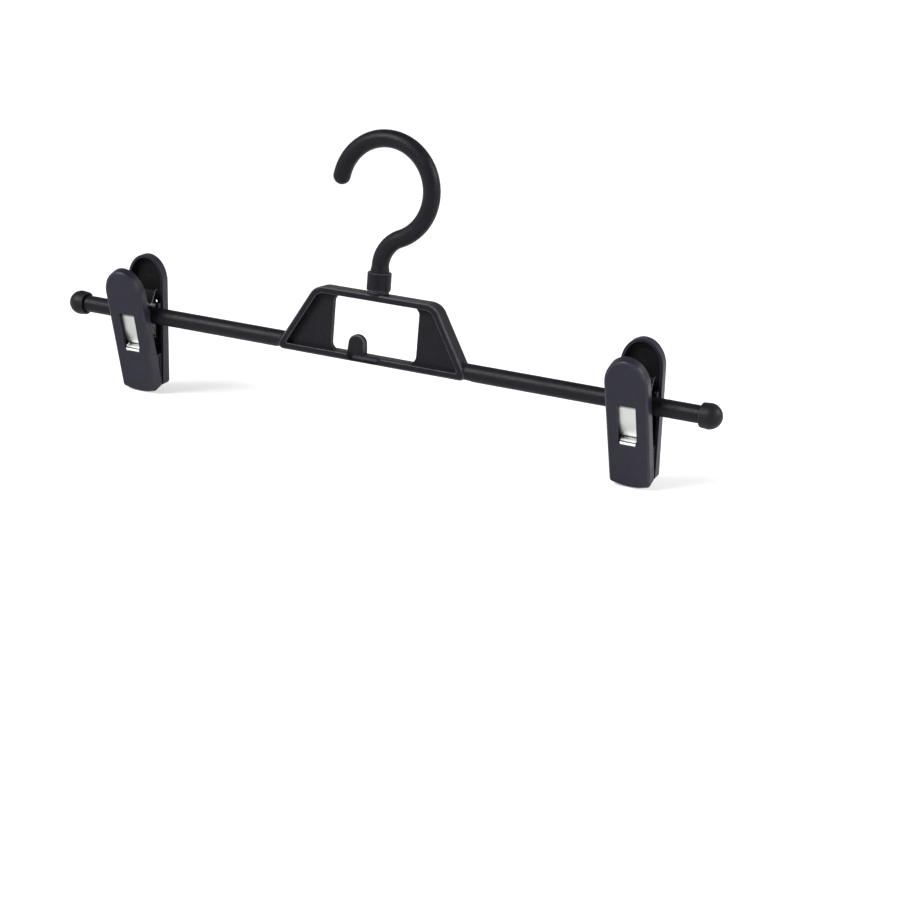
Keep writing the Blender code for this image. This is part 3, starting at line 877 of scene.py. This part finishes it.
def makeBar(spec, side):
    # one half of the bar, whose root swells into the slanted leg
    radius = spec["diameter"] / 2
    turns = [math.tau * step / spec["sides"] for step in range(spec["sides"])]
    end = side * spec["length"] / 2
    loops = [[Vector((end, radius * math.cos(turn), radius * math.sin(turn))) for turn in turns]]
    lift = radius - bracket["drop"]
    swells = [(1 - math.cos(turn), 1 - math.sin(turn)) for turn in quarterTurns(spec["rootSteps"])]
    swells.append((1, -spec["rootSink"] / spec["rootLength"]))
    for swell, away in swells:
        wide = radius + spec["rootSpread"] * swell
        high = radius + spec["rootRise"] * swell
        low = radius - lift * swell
        points = []
        for turn in turns:
            z = (high if turn < math.pi else low) * math.sin(turn)
            x = side * (halfWidth(z) + spec["rootLength"] * away)
            points.append(Vector((x, wide * math.cos(turn), z)))
        loops.append(points)
    bm = skin(loops)
    raiseRidge(bm, lambda co: abs(co.y) < fits["middle"], spec["ridgeWidth"], spec["ridgeHeight"])
    return bm


bossSpec = {
    "diameter": 0.0098,
    "height": 0.0012,
    "round": 0.0003,
    "stemDiameter": 0.0050,
    "headDiameter": 0.0064,
    "headThickness": 0.0011,
    "roundSteps": 4,
    "sides": 64,
    "boreSides": 48,
}
bossTop = rimTop + bossSpec["height"]


def makeBoss(spec):
    radius, edge = spec["diameter"] / 2, spec["round"]
    places = [(upright(rimTop - fits["sink"]), radius)]
    for turn in quarterTurns(spec["roundSteps"]):
        height = bossTop - edge + edge * math.sin(turn)
        places.append((upright(height), radius - edge * (1 - math.cos(turn))))
    return tube(places, spec["sides"])


def makeBore(low, high, diameter):
    radius = diameter / 2 + fits["gap"]
    return tube([(upright(low), radius), (upright(high), radius)], bossSpec["boreSides"])


def makeHangerFrame():
    below, above = rimUnderside - fits["overrun"], bossTop + fits["overrun"]
    pocketTop = rimUnderside + bossSpec["headThickness"] + fits["gap"]
    steps = [
        ("DIFFERENCE", makeScoop(tongueSpec)),
        ("UNION", makeTongue(tongueSpec)),
        ("UNION", makeBar(barSpec, -1)),
        ("UNION", makeBar(barSpec, 1)),
        ("UNION", makeBoss(bossSpec)),
        ("DIFFERENCE", makeBore(below, above, bossSpec["stemDiameter"])),
        ("DIFFERENCE", makeBore(below, pocketTop, bossSpec["headDiameter"])),
    ]
    mesh = combine("barAndBracket", bracketBlank(), steps)
    mesh.transform(toBar)
    addPiece("barAndBracket", mesh, finishes["framePlastic"], ["hanger_frame"], "frame")


makeHangerFrame()
print("bar and bracket made")


# end caps

capSpec = {
    "diameter": 0.01157,
    "mouthDiameter": 0.0110,
    "mouthRound": 0.0004,
    "skirtLength": 0.0035,
    "boreDepth": 0.0053,
    "mouthSteps": 4,
    "domeSteps": 18,
    "sides": 64,
}


def makeCap(spec):
    # turned round X, with its mouth at zero and its dome towards +X
    bore, radius = barSpec["diameter"] / 2 + fits["gap"], spec["diameter"] / 2
    mouth, edge, deep = spec["mouthDiameter"] / 2, spec["mouthRound"], spec["boreDepth"]
    profile = [(deep, 0), (deep, bore), (edge / 2, bore), (0, bore + edge / 2)]
    for turn in quarterTurns(spec["mouthSteps"]):
        profile.append((edge * (1 - math.cos(turn)), mouth - edge + edge * math.sin(turn)))
    for turn in quarterTurns(spec["domeSteps"])[:-1]:
        profile.append((spec["skirtLength"] + radius * math.sin(turn), radius * math.cos(turn)))
    profile.append((spec["skirtLength"] + radius, 0))
    bm = bmesh.new()
    verts = [bm.verts.new((x, 0, height)) for x, height in profile]
    edges = [bm.edges.new(pair) for pair in zip(verts, verts[1:])]
    bmesh.ops.spin(
        bm,
        geom=verts + edges,
        cent=(0, 0, 0),
        axis=(1, 0, 0),
        angle=math.tau,
        steps=spec["sides"],
        use_merge=True,
    )
    bmesh.ops.remove_doubles(bm, verts=bm.verts, dist=fits["hair"])
    return bm


def makeCaps():
    outward = Matrix.Translation((barSpec["length"] / 2 + fits["gap"] - capSpec["boreDepth"], 0, 0))
    for name, node, turn in (("capLeft", "end_cap_left", math.pi), ("capRight", "end_cap_right", 0)):
        mesh = toMesh(makeCap(capSpec), name)
        mesh.transform(toBar @ Matrix.Rotation(turn, 4, "Z") @ outward)
        addPiece(name, mesh, finishes["capPlastic"], [node], "frame")


makeCaps()
print("end caps made")


# hook

hookSpec = {
    "rodDiameter": 0.0080,
    "radius": 0.0228,
    "centreHeight": 0.0760,
    "tipAngle": math.radians(171),
    "neckRadius": 0.0150,
    "sides": 72,
    "stepAngle": math.radians(3),
    "tipSteps": 10,
    "shankDiameter": 0.0089,
    "collarDiameter": 0.0111,
    "collarTop": 0.0386,
    "collarChamfer": 0.0006,
    "collarShoulder": 0.0005,
    "shoulderTaper": 0.0002,
    "headChamfer": 0.0003,
    "edgeSteps": 3,
    "fluteStep": 3,             # every third side of the collar
    "fluteDepth": 0.00013,
    "ridgeWidth": 0.00013,
    "ridgeHeight": 0.00005,
}


def acrossPath(x, z, heading):
    # the place of a ring round the rod, where the rod runs at this heading
    ahead = Vector((math.cos(heading), 0, math.sin(heading)))
    side = Vector((0, 1, 0))
    turn = Matrix((side, ahead.cross(side), ahead)).transposed().to_4x4()
    return Matrix.Translation((x, 0, z)) @ turn


def arcPlaces(x, z, radius, start, end, curl):
    steps = math.ceil(abs(end - start) / hookSpec["stepAngle"])
    turns = [start + (end - start) * step / steps for step in range(steps + 1)]
    return [
        acrossPath(x + radius * math.cos(turn), z + radius * math.sin(turn), turn + curl * quarter)
        for turn in turns
    ]


def uprightStations(spec):
    # (height, diameter) up the snap head, the stem, the collar and the shank
    headTop, collarFoot = rimUnderside + bossSpec["headThickness"], bossTop + fits["gap"]
    head, stem, collar = bossSpec["headDiameter"], bossSpec["stemDiameter"], spec["collarDiameter"]
    taper, edge, shoulder = spec["shoulderTaper"], spec["collarChamfer"], spec["collarShoulder"]
    stations = [
        (rimUnderside, head - 2 * spec["headChamfer"]),
        (rimUnderside + spec["headChamfer"], head),
        (headTop, head),
        (headTop + taper, stem),
        (collarFoot + taper, stem),
    ]
    for turn in quarterTurns(spec["edgeSteps"]):
        height = collarFoot + edge * (1 - math.cos(turn))
        stations.append((height, collar - 2 * edge * (1 - math.sin(turn))))
    top = spec["collarTop"]
    for turn in quarterTurns(spec["edgeSteps"]):
        height = top - shoulder * (1 - math.sin(turn))
        stations.append((height, collar - 2 * shoulder * (1 - math.cos(turn))))
    stations.append((top + taper, spec["shankDiameter"]))
    return stations


def makeHook(spec):
    # shank, neck, circle and round tip; the neck bends round a centre to the right of the shank
    radius, neck, centre = spec["radius"], spec["neckRadius"], spec["centreHeight"]
    join = centre - math.sqrt(radius**2 + 2 * radius * neck)
    turn = math.atan2(centre - join, -neck)
    bends = arcPlaces(neck, join, neck, math.pi, turn, -1)
    bends += arcPlaces(0, centre, radius, turn - math.pi, spec["tipAngle"], 1)[1:]
    rod = spec["rodDiameter"] / 2
    places = [(acrossPath(0, height, quarter), size / 2) for height, size in uprightStations(spec)]
    places += [(place, rod) for place in bends]
    for step in range(1, spec["tipSteps"]):
        rise = quarter * step / spec["tipSteps"]
        places.append((bends[-1] @ upright(rod * math.sin(rise)), rod * math.cos(rise)))
    bm = tube(places, spec["sides"])
    top = spec["collarTop"] + rod
    tipZ = bends[-1].translation.z

    def onMiddle(co):
        pastTip = co.x < -radius / 2 and co.z < tipZ + fits["middle"]
        return abs(co.y) < fits["middle"] and co.z > top and not pastTip

    raiseRidge(bm, onMiddle, spec["ridgeWidth"], spec["ridgeHeight"])
    cutFlutes(bm, spec)
    return bm


def cutFlutes(bm, spec):
    # shallow upright grooves round the collar
    foot = bossTop + fits["gap"] + spec["collarChamfer"] / 2
    top = spec["collarTop"] - spec["collarShoulder"] / 2
    for vert in bm.verts:
        spot = Vector((vert.co.x, vert.co.y))
        if foot < vert.co.z < top and spot.length > spec["shankDiameter"] / 2:
            column = round(math.atan2(spot.y, spot.x) / math.tau * spec["sides"])
            if column % spec["fluteStep"] == 0:
                sunk = spot * (1 - spec["fluteDepth"] / spot.length)
                vert.co.x, vert.co.y = sunk


def addHook():
    mesh = toMesh(makeHook(hookSpec), "hookMoulding")
    mesh.transform(toBar)
    addPiece("hookMoulding", mesh, finishes["hookPlastic"], ["hook"], "hook")


addHook()
print("hook made")


# clip jaws

clipTurns = {"left": math.radians(13.6), "right": math.radians(15.9)}
jawSpec = {
    "halfAngle": math.radians(7.8),
    "rise": 0.0276,
    "drop": 0.0382,
    "archRise": 0.0125,
    "topWidth": 0.0199,
    "bottomWidth": 0.0191,
    "topDepth": 0.0048,
    "bottomDepth": 0.0062,
    "edgeRound": 0.0013,
    "backRound": 0.00025,
    "faceThickness": 0.0016,
    "wall": 0.0015,
    "toeSag": 0.0018,
    "cornerRadius": 0.0018,
    "closedGap": 0.0004,
    "cavityBottom": -0.0195,
    "cavityCorner": 0.0010,
    "cavityFillet": 0.0005,
    "cavityLip": 0.00025,
    "windowWidth": 0.0084,
    "windowTop": 0.0050,
    "windowBottom": -0.0142,
    "windowRadius": 0.0006,
    "windowLip": 0.0003,
    "ledgeHeight": 0.0012,
    "ledgeRecess": 0.0009,
    "earThickness": 0.0014,
    "earHeight": 0.0104,
    "earReach": 0.0026,
    "earRound": 0.0003,
    "padTop": -0.0202,
    "padBottom": -0.0350,
    "padInset": 0.0009,
    "padRoot": 0.0010,
    "padRidges": 9,
    "padRidgeDepth": 0.0005,
    "markHeight": 0.0192,
    "markRadius": 0.0028,
    "markWidth": 0.00030,
    "markDepth": 0.00014,
    "gateRadius": 0.0006,
    "guideX": 0.00445,
    "guideThickness": 0.0011,
    "guideDepth": 0.0027,
    "guideRound": 0.0002,
    "guideBottom": -0.0139,
    "guideTop": 0.0042,
    "archSteps": 40,
    "toeSteps": (7, 10),        # steps to each side, of so many to the corner
    "cornerSteps": 7,
    "edgeSteps": 7,
    "backSteps": 2,
    "cavityCornerSteps": 5,
    "cavityFilletSteps": 4,
    "cavityLipSteps": 3,
    "windowCornerSteps": 5,
    "windowLipSteps": 4,
    "ribSteps": 3,
    "saddleSides": 64,
    "markSides": 40,
    "ridgeLand": (0.35, 0.65),  # the flat crest of each pad ridge, as shares of its pitch
}
setback = jawSpec["drop"] * math.tan(jawSpec["halfAngle"]) + jawSpec["closedGap"] / 2
shoulder = jawSpec["rise"] - jawSpec["archRise"]


def clipPlace(side):
    # a clip's place on the bar, and how far it has turned round it
    return Matrix.Translation(clipPlaces[side]) @ Matrix.Rotation(clipTurns[side], 4, "X")


def jawFace(height):
    slope = (jawSpec["bottomDepth"] - jawSpec["topDepth"]) / (jawSpec["rise"] + jawSpec["drop"])
    return -(setback + jawSpec["topDepth"] + slope * (jawSpec["rise"] - height))


def jawFloor(height):
    return jawFace(height) + jawSpec["faceThickness"]


def arch(half, rise):
    turns = [math.pi * step / jawSpec["archSteps"] for step in range(jawSpec["archSteps"] + 1)]
    return [Vector((half * math.cos(turn), shoulder + rise * math.sin(turn))) for turn in turns]


def jawOutline(spec):
    half, cornerHeight = spec["bottomWidth"] / 2, spec["toeSag"] - spec["drop"]
    top = arch(spec["topWidth"] / 2, spec["archRise"])
    reach, count = spec["toeSteps"]
    shares = [step / count for step in range(-reach, reach + 1)]
    toe = [Vector((half * share, spec["toeSag"] * share**2 - spec["drop"])) for share in shares]
    right, left = Vector((half, cornerHeight)), Vector((-half, cornerHeight))
    points = fillet(top[-1], left, toe[0], spec["cornerRadius"], spec["cornerSteps"]) + toe
    return points + fillet(toe[-1], right, top[0], spec["cornerRadius"], spec["cornerSteps"]) + top


def jawBlank(spec):
    bm = prism(jawOutline(spec), jawFace, level(-setback))
    front, back = spec["edgeRound"], spec["backRound"]
    roundEdges(bm, lambda co: abs(co.y - jawFace(co.z)) < front / 2, front, spec["edgeSteps"])
    roundEdges(bm, lambda co: abs(co.y + setback) < back / 4, back, spec["backSteps"])
    return bm


def cavityOutline(spec, grow):
    half, low = spec["bottomWidth"] / 2 - spec["wall"] + grow, spec["cavityBottom"] - grow
    top = arch(spec["topWidth"] / 2 - spec["wall"] + grow, spec["archRise"] - spec["wall"] + grow)
    right, left = Vector((half, low)), Vector((-half, low))
    radius, steps = spec["cavityCorner"], spec["cavityCornerSteps"]
    return fillet(top[-1], left, right, radius, steps) + fillet(left, right, top[0], radius, steps) + top


def jawCavity(spec):
    # the hollow behind the face, with a rounded floor edge and a softened mouth
    cove, lip = spec["cavityFillet"], spec["cavityLip"]
    loops = []
    for turn in quarterTurns(spec["cavityFilletSteps"]):
        outline, rise = cavityOutline(spec, -cove * (1 - math.sin(turn))), cove * (1 - math.cos(turn))
        loops.append([(point.x, jawFloor(point.y) + rise, point.y) for point in outline])
    for turn in quarterTurns(spec["cavityLipSteps"]):
        outline, back = cavityOutline(spec, lip * (1 - math.cos(turn))), lip * (1 - math.sin(turn))
        loops.append([(point.x, -setback - back, point.y) for point in outline])
    outline = cavityOutline(spec, lip)
    loops.append([(point.x, fits["overrun"] - setback, point.y) for point in outline])
    return skin(loops)


def windowCutter(spec):
    # the opening in the face, down past the ledge, with softened edges
    half, lip = spec["windowWidth"] / 2, spec["windowLip"]
    high, low = spec["windowTop"], spec["windowBottom"] - spec["ledgeHeight"]
    depths = [(lip, -fits["overrun"])]
    for turn in quarterTurns(spec["windowLipSteps"]):
        depths.append((lip * (1 - math.sin(turn)), lip * (1 - math.cos(turn))))
    depths.append((0, spec["ledgeRecess"]))
    radius, steps = spec["windowRadius"], spec["windowCornerSteps"]
    loops = []
    for grow, sink in depths:
        outline = roundedBox(half + grow, low - grow, high + grow, radius + grow, steps)
        loops.append([(point.x, jawFace(point.y) + sink, point.y) for point in outline])
    return skin(loops)


def windowThrough(spec):
    # from the ledge's recess through to the hollow
    half = spec["windowWidth"] / 2 - fits["hair"]
    low, high = spec["windowBottom"], spec["windowTop"] - fits["hair"]
    return prism(
        roundedBox(half, low, high, spec["windowRadius"], spec["windowCornerSteps"]),
        lambda height: jawFace(height) + spec["ledgeRecess"] / 2,
        lambda height: jawFloor(height) + fits["overrun"],
    )


def jawEar(spec, side):
    # a rib along the side wall that holds the bar in its saddle
    wall = spec["topWidth"] / 2 - spec["wall"]
    outer, inner = side * (wall + fits["sink"]), side * (wall - spec["earThickness"])
    reach, half = spec["earReach"] - setback, spec["earHeight"] / 2
    low = Vector((min(outer, inner), jawFloor(0) - fits["sink"], -half))
    high = Vector((max(outer, inner), reach, half))
    bm = bmesh.new()
    bmesh.ops.create_cube(bm, size=1, matrix=Matrix.LocRotScale((low + high) / 2, None, high - low))
    radius = spec["earRound"]
    roundEdges(bm, lambda co: abs(co.y - reach) < radius / 2, radius, spec["ribSteps"])
    return bm


def guideRib(spec, side):
    # a rib beside the window that keeps the strip in line
    inner, outer = side * spec["guideX"], side * (spec["guideX"] + spec["guideThickness"])
    low, high = spec["guideBottom"], spec["guideTop"]
    outline = [Vector(corner) for corner in ((inner, low), (outer, low), (outer, high), (inner, high))]
    depth, radius = spec["guideDepth"], spec["guideRound"]
    bm = prism(
        outline,
        lambda height: jawFloor(height) - fits["sink"],
        lambda height: jawFloor(height) + depth,
    )
    roundEdges(bm, lambda co: abs(co.y - jawFloor(co.z) - depth) < radius / 2, radius, spec["ribSteps"])
    return bm


def gripPad(spec):
    # a wedge under the toe, whose ridged face lies along the clip's middle plane
    pitch = (spec["padTop"] - spec["padBottom"]) / spec["padRidges"]
    slope = math.tan(spec["halfAngle"])
    gap = spec["closedGap"] / 2 / math.cos(spec["halfAngle"])
    start, end = spec["ridgeLand"]
    root = -setback - spec["padRoot"]
    profile = [Vector((root, spec["padTop"])), Vector((root, spec["padBottom"]))]
    for number in range(spec["padRidges"]):
        foot = spec["padBottom"] + number * pitch
        for share, depth in ((0, 1), (start, 0), (end, 0)):
            height = foot + pitch * share
            profile.append(Vector((height * slope - gap - depth * spec["padRidgeDepth"], height)))
    profile.append(Vector((spec["padTop"] * slope - gap - spec["padRidgeDepth"], spec["padTop"])))
    half = spec["bottomWidth"] / 2 - spec["padInset"]
    bm = prism(profile, level(-half), level(half))
    bmesh.ops.rotate(bm, verts=bm.verts, cent=(0, 0, 0), matrix=Matrix.Rotation(quarter, 3, "Z"))
    return bm


def floorRing(spec, inner, outer, low, high):
    # a flat ring, or a disc where inner is zero, that lies along the hollow's floor
    bm = bmesh.new()
    facing = upright(spec["markHeight"]) @ Matrix.Rotation(quarter, 4, "X")
    radii = (outer, outer, inner, inner) if inner else (outer, outer)
    loops = [addCircle(bm, facing, radius, spec["markSides"]) for radius in radii]
    for loop, depth in zip(loops, (low, high, high, low)):
        for vert in {vert for edge in loop for vert in edge.verts}:
            vert.co.y = jawFloor(vert.co.z) + depth
    bmesh.ops.bridge_loops(bm, edges=loops[0] + loops[1])
    if inner:
        bmesh.ops.bridge_loops(bm, edges=loops[2] + loops[3])
        bmesh.ops.triangle_fill(bm, edges=loops[1] + loops[2], use_beauty=True)
        bmesh.ops.triangle_fill(bm, edges=loops[0] + loops[3], use_beauty=True)
    else:
        closeEnds(bm, loops)
    return bm


def makeJaw(spec):
    radius = barSpec["diameter"] / 2 + fits["gap"]
    saddle = [(alongX(side * spec["topWidth"] / 2, 0, 0), radius) for side in (-1, 1)]
    markInner, depth = spec["markRadius"] - spec["markWidth"], spec["markDepth"]
    steps = [
        ("DIFFERENCE", jawCavity(spec)),
        ("DIFFERENCE", windowCutter(spec)),
        ("DIFFERENCE", windowThrough(spec)),
        ("UNION", jawEar(spec, -1)),
        ("UNION", jawEar(spec, 1)),
        ("UNION", guideRib(spec, -1)),
        ("UNION", guideRib(spec, 1)),
        ("UNION", gripPad(spec)),
        ("DIFFERENCE", tube(saddle, spec["saddleSides"])),
        ("DIFFERENCE", floorRing(spec, markInner, spec["markRadius"], -depth, fits["overrun"])),
        ("UNION", floorRing(spec, 0, spec["gateRadius"], -depth, depth)),
    ]
    mesh = combine("jaw", jawBlank(spec), steps)
    markHollow(mesh, spec)
    return mesh


def markHollow(mesh, spec):
    # the faces of the hollow behind the jaw's face, which get painted shade and stay duller
    half = spec["topWidth"] / 2 - spec["wall"] / 2
    rise = spec["archRise"] - spec["wall"] / 2
    layer = mesh.attributes.new("inside", "FLOAT", "FACE")
    for face in mesh.polygons:
        x, y, z = face.center
        behind = jawFloor(z) - fits["hair"] < y < -setback - fits["hair"]
        under = abs(x) < half and math.hypot(x / half, max(0, z - shoulder) / rise) < 1
        layer.data[face.index].value = 1 if behind and under and z > spec["padTop"] else 0


def addJaws():
    jaw = makeJaw(jawSpec)
    lean = Matrix.Rotation(jawSpec["halfAngle"], 4, "X")
    for side in clipTurns:
        for name, facing in (("front", 0), ("back", math.pi)):
            mesh = jaw.copy()
            mesh.transform(clipPlace(side) @ Matrix.Rotation(facing, 4, "Z") @ lean)
            node = f"{name}_jaw_{side}"
            piece = f"{name}Jaw{side.title()}"
            addPiece(piece, mesh, finishes["jawPlastic"], [node], node)


addJaws()
print("clip jaws made")


# springs: one flat steel strip from ledge to ledge, dipping over the bar between the jaws

stripSpec = {
    "thickness": 0.0005,
    "footWidth": 0.0072,
    "armWidth": 0.0086,
    "centreWidth": 0.0136,
    "footBend": 0.0005,
    "footSet": 0.0016,
    "touchHeight": -0.0055,
    "touchBend": 0.0200,
    "armTop": 0.0020,
    "armBend": 0.0040,
    "armRise": 0.0018,
    "crestY": 0.0066,
    "crestHeight": 0.0128,
    "crestBend": 0.0014,
    "dipBend": 0.0025,
    "barGap": 0.0013,
    "shoulderLength": 0.0012,
    "shoulderDrop": 0.0034,
    "bendSteps": 10,
    "edgeAngle": math.radians(60),
    "edgeRound": 0.00009,
    "edgeSteps": 2,
    "flexReach": 0.0048,
    "neckHeights": (0.0007, 0.0011, 0.0018),
    "neckShares": (0.45, 0.75, 1.0),
    # painted shade in the inner bend and along the ledge bend
    "creaseShade": 1.6,
    "creaseRise": 0.0008,
    "creaseReach": 0.00085,
    "lineReach": 0.00042,
    "lineShade": (2.6, 1.5),
    # painted shade over the upper strip and the middle between the jaws
    "upperShadeStart": 0.0025,
    "upperShadeEnd": 0.0031,
    "upperShadeSlant": 0.0006,
    # how far the painted highlight on the ledge and foot reaches
    "footGlare": 0.0007,
    # the share of painted shade kept on the strip's cut edges, which stay lighter as glints
    "cutShadeShare": 0.7,
    "cutFacing": 0.9,
}


def turnedPoint(depth, height):
    # a point of the back jaw's own frame, in the frame of the closed clip, as (y, z)
    return Matrix.Rotation(-jawSpec["halfAngle"], 2) @ Vector((depth, height))


def stripCorners(spec):
    # (corner, bend, half width) from the back jaw's ledge to the crest
    half, gap = spec["thickness"] / 2, fits["gap"]
    low = jawSpec["windowBottom"] - jawSpec["ledgeHeight"] + gap
    high = jawSpec["windowBottom"] + gap + half
    ledge, arm = gap + half - jawSpec["ledgeRecess"], -gap - half
    inner = turnedPoint(arm - spec["footSet"] - jawFloor(high), high)
    touch = turnedPoint(arm - jawFloor(spec["touchHeight"]), spec["touchHeight"])
    armTop = turnedPoint(arm - jawFloor(spec["armTop"]), spec["armTop"])
    crest = Vector((spec["crestY"], spec["crestHeight"]))
    leg = (armTop - crest).normalized()
    foot, narrow, wide = spec["footWidth"] / 2, spec["armWidth"] / 2, spec["centreWidth"] / 2
    up = (touch - inner).normalized()
    neck = [
        (inner + up * height, 0, foot + (narrow - foot) * share)
        for height, share in zip(spec["neckHeights"], spec["neckShares"])
    ]
    return [
        (turnedPoint(ledge - jawFace(low), low), 0, foot),
        (turnedPoint(ledge - jawFace(high), high), spec["footBend"], foot),
        (inner, spec["footBend"], foot),
        *neck,
        (touch, spec["touchBend"], narrow),
        (armTop, spec["armBend"], narrow),
        (armTop - leg * spec["armRise"], 0, narrow),
        (crest + leg * (spec["shoulderDrop"] + spec["shoulderLength"]), 0, narrow),
        (crest + leg * spec["shoulderDrop"], 0, wide),
        (crest, spec["crestBend"], wide),
    ]


def stripStations(spec):
    # (middle, half width) along the whole strip, from the front ledge to the back one
    back = stripCorners(spec)
    front = [(Vector((-spot.x, spot.y)), bend, width) for spot, bend, width in back]
    floor = barSpec["diameter"] / 2 + spec["barGap"] + spec["thickness"] / 2
    slope = math.atan2(spec["crestY"], spec["crestHeight"] - floor + spec["dipBend"] / 2)
    dip = Vector((0, floor - spec["dipBend"] * (1 / math.sin(slope) - 1)))
    corners = front + [(dip, spec["dipBend"], spec["centreWidth"] / 2)] + back[::-1]
    stations = []
    for index, (spot, bend, width) in enumerate(corners):
        points = [spot]
        if bend:
            before, after = corners[index - 1][0], corners[index + 1][0]
            points = fillet(before, spot, after, bend, spec["bendSteps"])
        stations += [(point, width) for point in points]
    return stations


def makeStrip(spec):
    stations = stripStations(spec)
    middles = [middle for middle, _ in stations]
    ahead, behind = middles[1:] + middles[-1:], middles[:1] + middles[:-1]
    loops = []
    for (middle, width), after, before in zip(stations, ahead, behind):
        run = (after - before).normalized()
        side = Vector((-run.y, run.x)) * (spec["thickness"] / 2)
        under, over = middle - side, middle + side
        loops.append([(-width, *under), (width, *under), (width, *over), (-width, *over)])
    bm = skin(loops)
    bm.normal_update()
    bmesh.ops.bevel(
        bm,
        geom=[edge for edge in bm.edges if edge.calc_face_angle(0) > spec["edgeAngle"]],
        offset=spec["edgeRound"],
        segments=spec["edgeSteps"],
        profile=0.5,
        affect="EDGES",
        material=-1,
    )
    shadeStrip(bm, spec)
    return bm


def shadeStrip(bm, spec):
    # painted shade above zero in the inner bend, along the ledge bend and over the middle, which are dark,
    # and a painted highlight below zero on the bright ledge
    corners = stripCorners(spec)
    toJaw = Matrix.Rotation(jawSpec["halfAngle"], 2)
    ledge, inner, above = corners[1][0], corners[2][0], corners[3][0]
    crease = inner + (above - inner).normalized() * spec["creaseRise"]
    bm.normal_update()
    layer = bm.verts.layers.float.new("shade")
    for vert in bm.verts:
        spot = Vector((abs(vert.co.y), vert.co.z))
        # painted shade in the inner bend and along the ledge bend
        inCrease = 1 - (spot - crease).length / spec["creaseReach"]
        inLine = 1 - (spot - ledge).length / spec["lineReach"]
        inLine *= spec["lineShade"][0 if vert.co.x < 0 else 1]
        # painted shade over the upper strip and the middle, less on the cut edges
        start = spec["upperShadeStart"] + (spec["upperShadeSlant"] if vert.co.x > 0 else 0)
        own = toJaw @ spot
        dull = min(1, (own.y - start) / (spec["upperShadeEnd"] - spec["upperShadeStart"]))
        if any(abs(face.normal.x) > spec["cutFacing"] for face in vert.link_faces):
            dull *= spec["cutShadeShare"]
        dark = min(1, max(0, spec["creaseShade"] * inCrease, inLine, dull))
        # painted highlight on the ledge and foot
        past = (own - toJaw @ inner).x / spec["footGlare"]
        bright = min(1, max(0, past)) if spot.y < inner.y + spec["footGlare"] else 0
        vert[layer] = dark - bright * (1 - dark)


def addSprings():
    for side in clipTurns:
        clip = clipPlace(side)
        mesh = toMesh(makeStrip(stripSpec), "spring")
        mesh.transform(clip)
        name, node = f"spring{side.title()}", f"spring_{side}"
        piece = addPiece(name, mesh, finishes["springSteel"], [node])
        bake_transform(piece)


addSprings()
print("springs made")
